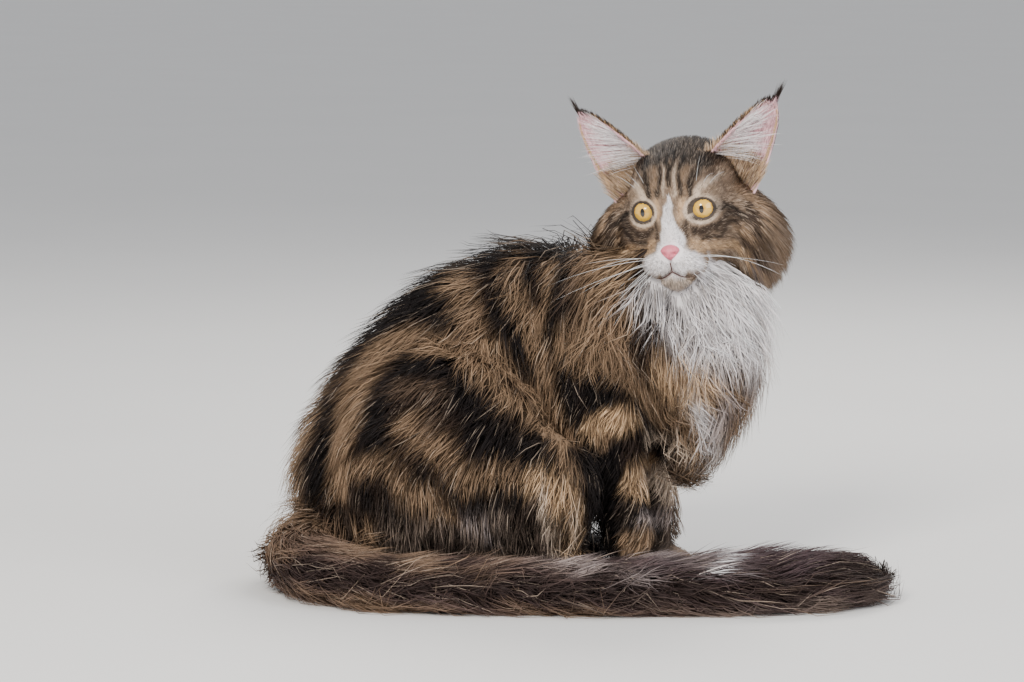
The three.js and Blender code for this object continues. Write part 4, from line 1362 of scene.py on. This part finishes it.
class CAT_OT_ear_coat(bpy.types.Operator):
    """Grow the hair of the ears: short behind, long across the cup, and a tuft on the tip."""

    bl_idname = "cat.ear_coat"
    bl_label = "Ear coat"

    def execute(self, context):
        random = np.random.default_rng(context.scene.cat_coat.seed + 2)
        for side, name in SIDES:
            groups = [self.hair(random, side, count, kind) for kind, count in EAR_HAIRS.items()]
            piece = blades(f"coat_ear_{name}", *(np.concatenate(part) for part in zip(*groups)))
            ride(piece, "ear")
        return {"FINISHED"}

    def hair(self, random, side, count, kind):
        """Hairs of one kind: their lines, normals, widths, colours and bake places."""
        t, s = random.random(count) ** 1.2, random.random(count) * 2 - 1
        face = 1.0
        if kind == "back":
            face = -1.0
            length, width, way = 7 + 5 * random.random(count), 0.9, np.array((-0.15, 0.15, 1.0))
            tone = lay(plain("dark", count), "black", ease(0.4, 0.0, np.abs(s + 0.4)) * 0.7)
        elif kind == "cup":
            length, width, way = 6 + 6 * random.random(count), 0.5, np.array((0.25, 0.4, 1.0))
            tone = plain("pink", count)
        elif kind == "fan":
            t, s = random.random(count) * 0.66, -0.95 + 0.7 * random.random(count) ** 2
            length, width = 50 * (1 - 0.5 * t) * (0.45 + 0.6 * random.random(count)), 0.5
            way = np.stack((0.34 + 0 * t, 1 - 0.55 * t, 0.05 + 1.0 * t), axis=1)
            way += 0.22 * (random.random((count, 3)) - 0.5)
            tone = plain("white", count)
        elif kind == "root":
            t, s = -0.24 + 0.36 * random.random(count), random.random(count) * 1.9 - 0.95
            length, width = 12 + 10 * random.random(count), 0.6
            way = np.stack((0.55 + 0 * t, 0.45 + 0.5 * s, 0.8 + 0 * t), axis=1)
            tone = lay(plain("honey", count), "cream", random.random(count) * 0.8)
            tone = lay(tone, "brown", (random.random(count) < 0.25) * 0.7)
        elif kind == "tip":
            t, s = 0.93 + 0.06 * random.random(count), (random.random(count) - 0.5) * 0.6
            length, width = 12 + 16 * random.random(count), 0.5
            way = np.stack((-0.1 + 0 * t, 0.45 + 0.1 * (random.random(count) - 0.5), 0.9 + 0 * t), axis=1)
            tone = plain("dark", count)
        else:
            s = np.where(random.random(count) < 0.5, -1, 1) * (0.93 + 0.06 * random.random(count))
            length, width = 4 + 4 * random.random(count), 0.55
            way = np.stack((0.1 + 0 * t, 0.25 * np.sign(s), 1 + 0 * t), axis=1)
            tone = lay(plain("honey", count), "dark", (random.random(count) < 0.7) * 0.85 * (s < 0))
        at = ear_point(t, s)
        du = ear_point(t + 0.01, s) - at
        dv = ear_point(t, s + 0.01) - at
        normal = unit(np.cross(dv, du)) * face
        normal *= np.sign(normal[:, :1] * face + 1e-9)
        way = unit(way + 0.18 * (random.random((count, 3)) - 0.5))
        if kind in ("back", "cup"):
            way = unit(way - normal * np.sum(way * normal, axis=1, keepdims=True))
        steps = 3
        share = np.linspace(0, 1, steps + 1)
        bend = np.array((0.0, 0.0, -0.16)) if kind == "fan" else np.zeros(3)
        lines = [
            at + way * (length * k)[:, None] + normal * (0.2 + 2.0 * k) + bend * (length * k * k)[:, None]
            for k in share
        ]
        paths = np.stack(lines, axis=1) * (1, side, 1)
        normals = normal * (1, side, 1)
        ups = np.repeat((normals @ HEAD_AXES)[:, None], steps + 1, axis=1)
        own = (0.8 + 0.3 * random.random(count))[:, None, None]
        # Painted shade: each hair darkens towards its root, among the others.
        shade = np.interp(share, (0, 1), (0.85, 1.0))[None, :, None] * own
        colours = np.clip(tone[:, None] * shade, 0, 1)
        bake = np.stack(((s + 1) / 2, t * 0.9), axis=1)
        widths = np.full(count, width) * (0.8 + 0.4 * random.random(count))
        return from_head(paths.reshape(-1, 3)).reshape(paths.shape), ups, widths, colours, bake


# ----- eyes, nose, mouth and whiskers
RAMP_SPAN = 1.25  # a colour ramp's whole length, in radii of what it draws
RIM_RADIUS, RIM_POINTS = 10, 200  # the ring that a lid's rim is bent from, and the points it is bent to


def eye_material(side, settings):
    """A wet golden eye with a dark slit, drawn round its own gaze."""
    material, nodes, links, shader = new_material(f"eye {dict(SIDES)[side]}", 0.12)
    shader.inputs["Coat Weight"].default_value = 1.0
    shader.inputs["Coat Roughness"].default_value = 0.02
    axes = eye_axes(side) @ HEAD_AXES
    place = nodes.new("ShaderNodeTexCoord")
    local = nodes.new("ShaderNodeMapping")
    local.vector_type = "TEXTURE"
    local.inputs["Location"].default_value = world(from_head(EYE_AT * (1, side, 1)))
    local.inputs["Rotation"].default_value = Matrix(axes * ((1,), (side,), (1,))).transposed().to_euler()
    local.inputs["Scale"].default_value = (M, M, M)
    links.new(place.outputs["Object"], local.inputs["Vector"])
    parts = nodes.new("ShaderNodeSeparateXYZ")
    links.new(local.outputs["Vector"], parts.inputs["Vector"])

    def math_node(operation, a, b=None):
        node = nodes.new("ShaderNodeMath")
        node.operation = operation
        for socket, value in zip(node.inputs, (a, b)):
            if isinstance(value, (int, float)):
                socket.default_value = value
            elif value is not None:
                links.new(value, socket)
        return node.outputs[0]

    def radius(wide, high):
        ways = [math_node("DIVIDE", parts.outputs[axis], size) for axis, size in (("Y", wide), ("Z", high))]
        return math_node("SQRT", math_node("ADD", *(math_node("MULTIPLY", way, way) for way in ways)))

    def ramp(factor, *stops):
        node = nodes.new("ShaderNodeValToRGB")
        elements = node.color_ramp.elements
        while len(elements) < len(stops):
            elements.new(0.5)
        for element, (at, colour) in zip(elements, stops):
            element.position = at
            element.color = (*colour, 1)
        links.new(factor, node.inputs["Fac"])
        return node.outputs["Color"]

    ring = radius(settings.iris * RAMP_SPAN, settings.iris * RAMP_SPAN)
    gold, amber = tuple(settings.gold), tuple(settings.amber)
    iris = ramp(ring, (0.12, amber), (0.3, gold), (0.62, gold), (0.77, amber), (0.81, (0.03, 0.02, 0.01)))
    angle = math_node("ARCTAN2", parts.outputs["Z"], parts.outputs["Y"])
    spoke = nodes.new("ShaderNodeCombineXYZ")
    links.new(math_node("MULTIPLY", angle, 9.0), spoke.inputs["X"])
    links.new(math_node("MULTIPLY", ring, 2.0), spoke.inputs["Y"])
    fibre = nodes.new("ShaderNodeTexNoise")
    fibre.inputs["Scale"].default_value = 2.4
    links.new(spoke.outputs["Vector"], fibre.inputs["Vector"])
    iris = shaded_by(nodes, links, iris, fibre.outputs["Fac"], 0.6, 1.35)
    pupil = radius(settings.pupil_wide * RAMP_SPAN, settings.pupil_high * RAMP_SPAN)
    slit = ramp(pupil, (0.76, (0, 0, 0)), (0.86, (1, 1, 1)))
    links.new(multiplied(nodes, links, iris, slit), shader.inputs["Base Color"])
    return material


class CAT_OT_eyes(bpy.types.Operator):
    """Make the eyes and the dark rims of their lids."""

    bl_idname = "cat.eyes"
    bl_label = "Eyes"

    def execute(self, context):
        settings = context.scene.cat_eyes
        rim_material, nodes, links, shader, noise = varied_material(
            "lid rim", 0.35, (0.018, 0.011, 0.009), 700, 0.6, 1.4, Specular_IOR_Level=0.5
        )
        bump(nodes, links, shader, noise, 0.3, 0.2 * M)
        for side, name in SIDES:
            clear_selection()
            middle = EYE_AT * (1, side, 1)
            axes = eye_axes(side)
            bpy.ops.mesh.primitive_uv_sphere_add(segments=64, ring_count=40, radius=EYE_RADIUS)
            eye = named(f"eyeball_{name}")
            points = coordinates(eye)[:, (2, 0, 1)]
            wide = np.linalg.norm(points[:, 1:], axis=1)
            points[:, 0] += 1.3 * ease(10.5, 3.0, wide) * (points[:, 0] > 0)
            move_vertices(eye, world(from_head(points @ axes + middle)))
            finish_shell(eye, eye_material(side, settings))
            ride(eye, "eye", f"eye_{name}")

            bpy.ops.mesh.primitive_torus_add(
                major_segments=96, minor_segments=12, major_radius=RIM_RADIUS, minor_radius=1
            )
            rim = named(f"lid_rim_{name}")
            torus = coordinates(rim)
            turn = (np.arctan2(torus[:, 1], torus[:, 0]) / (2 * math.pi)) % 1
            out = np.linalg.norm(torus[:, :2], axis=1) - RIM_RADIUS
            closed = np.array(ALMOND + (ALMOND[0],))
            line, _, _ = smooth_line(np.hstack((closed, np.zeros((len(closed), 1)))), RIM_POINTS)
            flat = line[(turn * (RIM_POINTS - 1)).astype(int), :2]
            outward = unit(flat - np.array((0.0, -0.3)))
            flat = flat + outward * (out * 0.75 + 0.35)[:, None]
            depth = np.sqrt(np.maximum((EYE_RADIUS + 0.75) ** 2 - np.sum(flat**2, axis=1), 1.0))
            points = np.hstack(((depth + torus[:, 2] * 0.7)[:, None], flat))
            move_vertices(rim, world(from_head(points @ axes + middle)))
            finish_shell(rim, rim_material)
            ride(rim, "coat")
        return {"FINISHED"}


class CAT_OT_nose(bpy.types.Operator):
    """Make the leather of the nose and the dark line of the mouth."""

    bl_idname = "cat.nose"
    bl_label = "Nose and mouth"

    def execute(self, context):
        clear_selection()
        bpy.ops.mesh.primitive_uv_sphere_add(segments=64, ring_count=48, radius=1)
        nose = named("nose_leather")
        p = coordinates(nose)
        drawn = 0.66 + 0.34 * np.clip(p[:, 2] + 0.4, -0.7, 0.7) / 0.7
        p = p * np.stack((np.ones(len(p)), drawn, np.ones(len(p))), axis=1) * NOSE_HALF
        for side in (1, -1):
            hole = (p - np.array((6.0, side * 4.4, -0.8))) / (3.2, 2.1, 1.6)
            dent = np.exp(-np.sum(hole**2, axis=1) * 1.1)
            p[:, 0] -= 3.4 * dent
        groove = np.exp(-((p[:, 1] / 0.8) ** 2)) * (p[:, 0] > 0) * ease(1.0, -2.0, p[:, 2])
        p[:, 0] -= 0.9 * groove
        move_vertices(nose, world(from_head(p + NOSE_AT)))
        material, nodes, links, shader, _ = varied_material(
            "nose leather", 0.42, TONE["leather"], 420, 0.7, 1.2, Specular_IOR_Level=0.5
        )
        cells = object_pattern(nodes, links, "ShaderNodeTexVoronoi", 1500)["Distance"]
        bump(nodes, links, shader, cells, 0.4, 0.25 * M)
        nose.data.materials.append(material)
        activate(nose)
        bpy.ops.object.shade_smooth()
        ride(nose, "nose", "nose")
        self.lips()
        return {"FINISHED"}

    def lips(self):
        """The dark edge of the lips, laid along the line of the mouth."""
        left, _, _ = smooth_line([(0, a, u) for a, u in MOUTH[1:]], 14)
        plan = np.vstack(((0, 0, -41.5), (0, 0, -45), left))
        curve = bpy.data.curves.new("lips", "CURVE")
        curve.dimensions = "3D"
        curve.bevel_depth = 0.55 * M
        curve.bevel_resolution = 2
        curve.use_fill_caps = True
        for line in (plan, left * (1, -1, 1)):
            at = line.copy()
            at[:, 0] = 90
            for _ in range(RAY_STEPS):
                at[:, 0] -= np.maximum(skull_distance(at), 0) * RAY_SHARE
            at[:, 0] += 0.5
            spline = curve.splines.new("POLY")
            spline.points.add(len(at) - 1)
            for k, place in enumerate(world(from_head(at))):
                spline.points[k].co = (*place, 1)
                spline.points[k].radius = 1.0 - 0.6 * k / len(at)
        clear_selection()
        lips = bpy.data.objects.new("lips", curve)
        bpy.context.collection.objects.link(lips)
        activate(lips)
        bpy.ops.object.convert(target="MESH")
        lips = bpy.context.active_object
        material, *_ = varied_material("lips", 0.5, TONE["lip"], 600, 0.7, 1.3, Specular_IOR_Level=0.3)
        lips.data.materials.append(material)
        ride(lips, "coat")


class CAT_OT_whiskers(bpy.types.Operator):
    """Make the whiskers of the pads and brows."""

    bl_idname = "cat.whiskers"
    bl_label = "Whiskers"

    def execute(self, context):
        random = np.random.default_rng(context.scene.cat_coat.seed + 3)
        lines = []
        for side in (1, -1):
            for row in range(4):
                for column in range(3):
                    root = np.array((57 - 3.2 * column, side * (13.5 + 4.6 * column), -38.5 - 3.1 * row))
                    length = (104 - 12 * column) * (0.7 + 0.35 * random.random())
                    up = 0.10 - 0.30 * row + 0.16 * (random.random() - 0.5)
                    way = unit(np.array((0.42 - 0.1 * column, side * 1.0, up)))
                    lines.append((root, way, length, 0.22))
            for i in range(3):
                root = np.array((36 - 2.0 * i, side * (20 + 4.0 * i), 14.5))
                way = unit(np.array((0.55, side * (0.25 + 0.2 * i), 1.0)))
                lines.append((root, way, 52 * (0.75 + 0.35 * random.random()), 0.24))
        steps = 8
        share = np.linspace(0, 1, steps + 1)
        paths = []
        for root, way, length, _ in lines:
            back = np.array((-0.5, 0, -0.75)) * (0.35 + 0.9 * random.random())
            k = share[:, None]
            paths.append(from_head(root + way * length * (k * 0.98 - 0.03) + back * length * 0.5 * k * k))
        paths = np.array(paths)
        ups = np.tile(HEAD_AXES[0], (len(lines), steps + 1, 1))
        widths = np.array([line[3] for line in lines]) * 1.6
        colours = np.full((len(lines), steps + 1, 3), 0.86)
        bake = np.stack((np.linspace(0.02, 0.97, len(lines)), np.full(len(lines), 0.5)), axis=1)
        piece = blades("whiskers", paths, ups, widths, colours, bake)
        ride(piece, "ruff")
        return {"FINISHED"}


class CAT_OT_stage(bpy.types.Operator):
    """Set the floor, the lights and the camera."""

    bl_idname = "cat.stage"
    bl_label = "Stage"

    def execute(self, context):
        stage = context.scene.cat_stage
        clear_selection()
        bpy.ops.mesh.primitive_plane_add(size=FLOOR_SIZE)
        floor = named("floor")
        material, *_ = varied_material(
            "pale floor", 0.85, (0.72, 0.71, 0.69), 3, 0.97, 1.02, Specular_IOR_Level=0.2
        )
        floor.data.materials.append(material)
        studio = bpy.data.worlds.new("studio")
        studio.use_nodes = True
        backdrop = studio.node_tree.nodes["Background"]
        backdrop.inputs["Color"].default_value = (0.93, 0.95, 1.0, 1)
        backdrop.inputs["Strength"].default_value = 0.75
        context.scene.world = studio
        middle = Vector(world(LOOK_AT))
        for name, at, size, power, colour in LAMPS:
            light = bpy.data.lights.new(name, "AREA")
            light.size = size
            light.energy = power
            light.color = colour
            lamp = bpy.data.objects.new(name, light)
            lamp.location = middle + Vector(at)
            lamp.rotation_euler = (-Vector(at)).to_track_quat("-Z", "Y").to_euler()
            context.collection.objects.link(lamp)
        camera = bpy.data.cameras.new("camera")
        camera.sensor_width = SENSOR
        camera.lens = SENSOR * stage.distance / stage.view_width
        eye = bpy.data.objects.new("camera", camera)
        context.collection.objects.link(eye)
        a, e = stage.azimuth, stage.elevation
        away = Vector((math.sin(a) * math.cos(e), -math.cos(a) * math.cos(e), math.sin(e)))
        eye.location = middle + away * stage.distance
        eye.rotation_euler = (-away).to_track_quat("-Z", "Y").to_euler()
        context.scene.camera = eye
        return {"FINISHED"}


class CAT_PT_panel(bpy.types.Panel):
    """Buttons and settings of the cat, in the sidebar."""

    bl_label = "Maine coon cat"
    bl_space_type = "VIEW_3D"
    bl_region_type = "UI"
    bl_category = "Cat"

    def draw(self, context):
        for operator in OPERATORS:
            self.layout.operator(operator.bl_idname)
        for group in ("cat_coat", "cat_eyes", "cat_stage"):
            settings = getattr(context.scene, group)
            box = self.layout.box()
            for name in settings.bl_rna.properties.keys():
                if name not in ("rna_type", "name"):
                    box.prop(settings, name)


OPERATORS = (
    CAT_OT_stage,
    CAT_OT_skin,
    CAT_OT_eyes,
    CAT_OT_nose,
    CAT_OT_body_coat,
    CAT_OT_head_coat,
    CAT_OT_ear_coat,
    CAT_OT_whiskers,
)
CLASSES = (CoatSettings, EyeSettings, StageSettings, *OPERATORS, CAT_PT_panel)


def register():
    for cls in CLASSES:
        bpy.utils.register_class(cls)
    bpy.types.Scene.cat_coat = bpy.props.PointerProperty(type=CoatSettings)
    bpy.types.Scene.cat_eyes = bpy.props.PointerProperty(type=EyeSettings)
    bpy.types.Scene.cat_stage = bpy.props.PointerProperty(type=StageSettings)


def unregister():
    for name in ("cat_coat", "cat_eyes", "cat_stage"):
        delattr(bpy.types.Scene, name)
    for cls in reversed(CLASSES):
        bpy.utils.unregister_class(cls)


def main():
    register()
    for operator in OPERATORS:
        group, name = operator.bl_idname.split(".")
        getattr(getattr(bpy.ops, group), name)()
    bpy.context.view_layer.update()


if __name__ == "__main__":
    main()
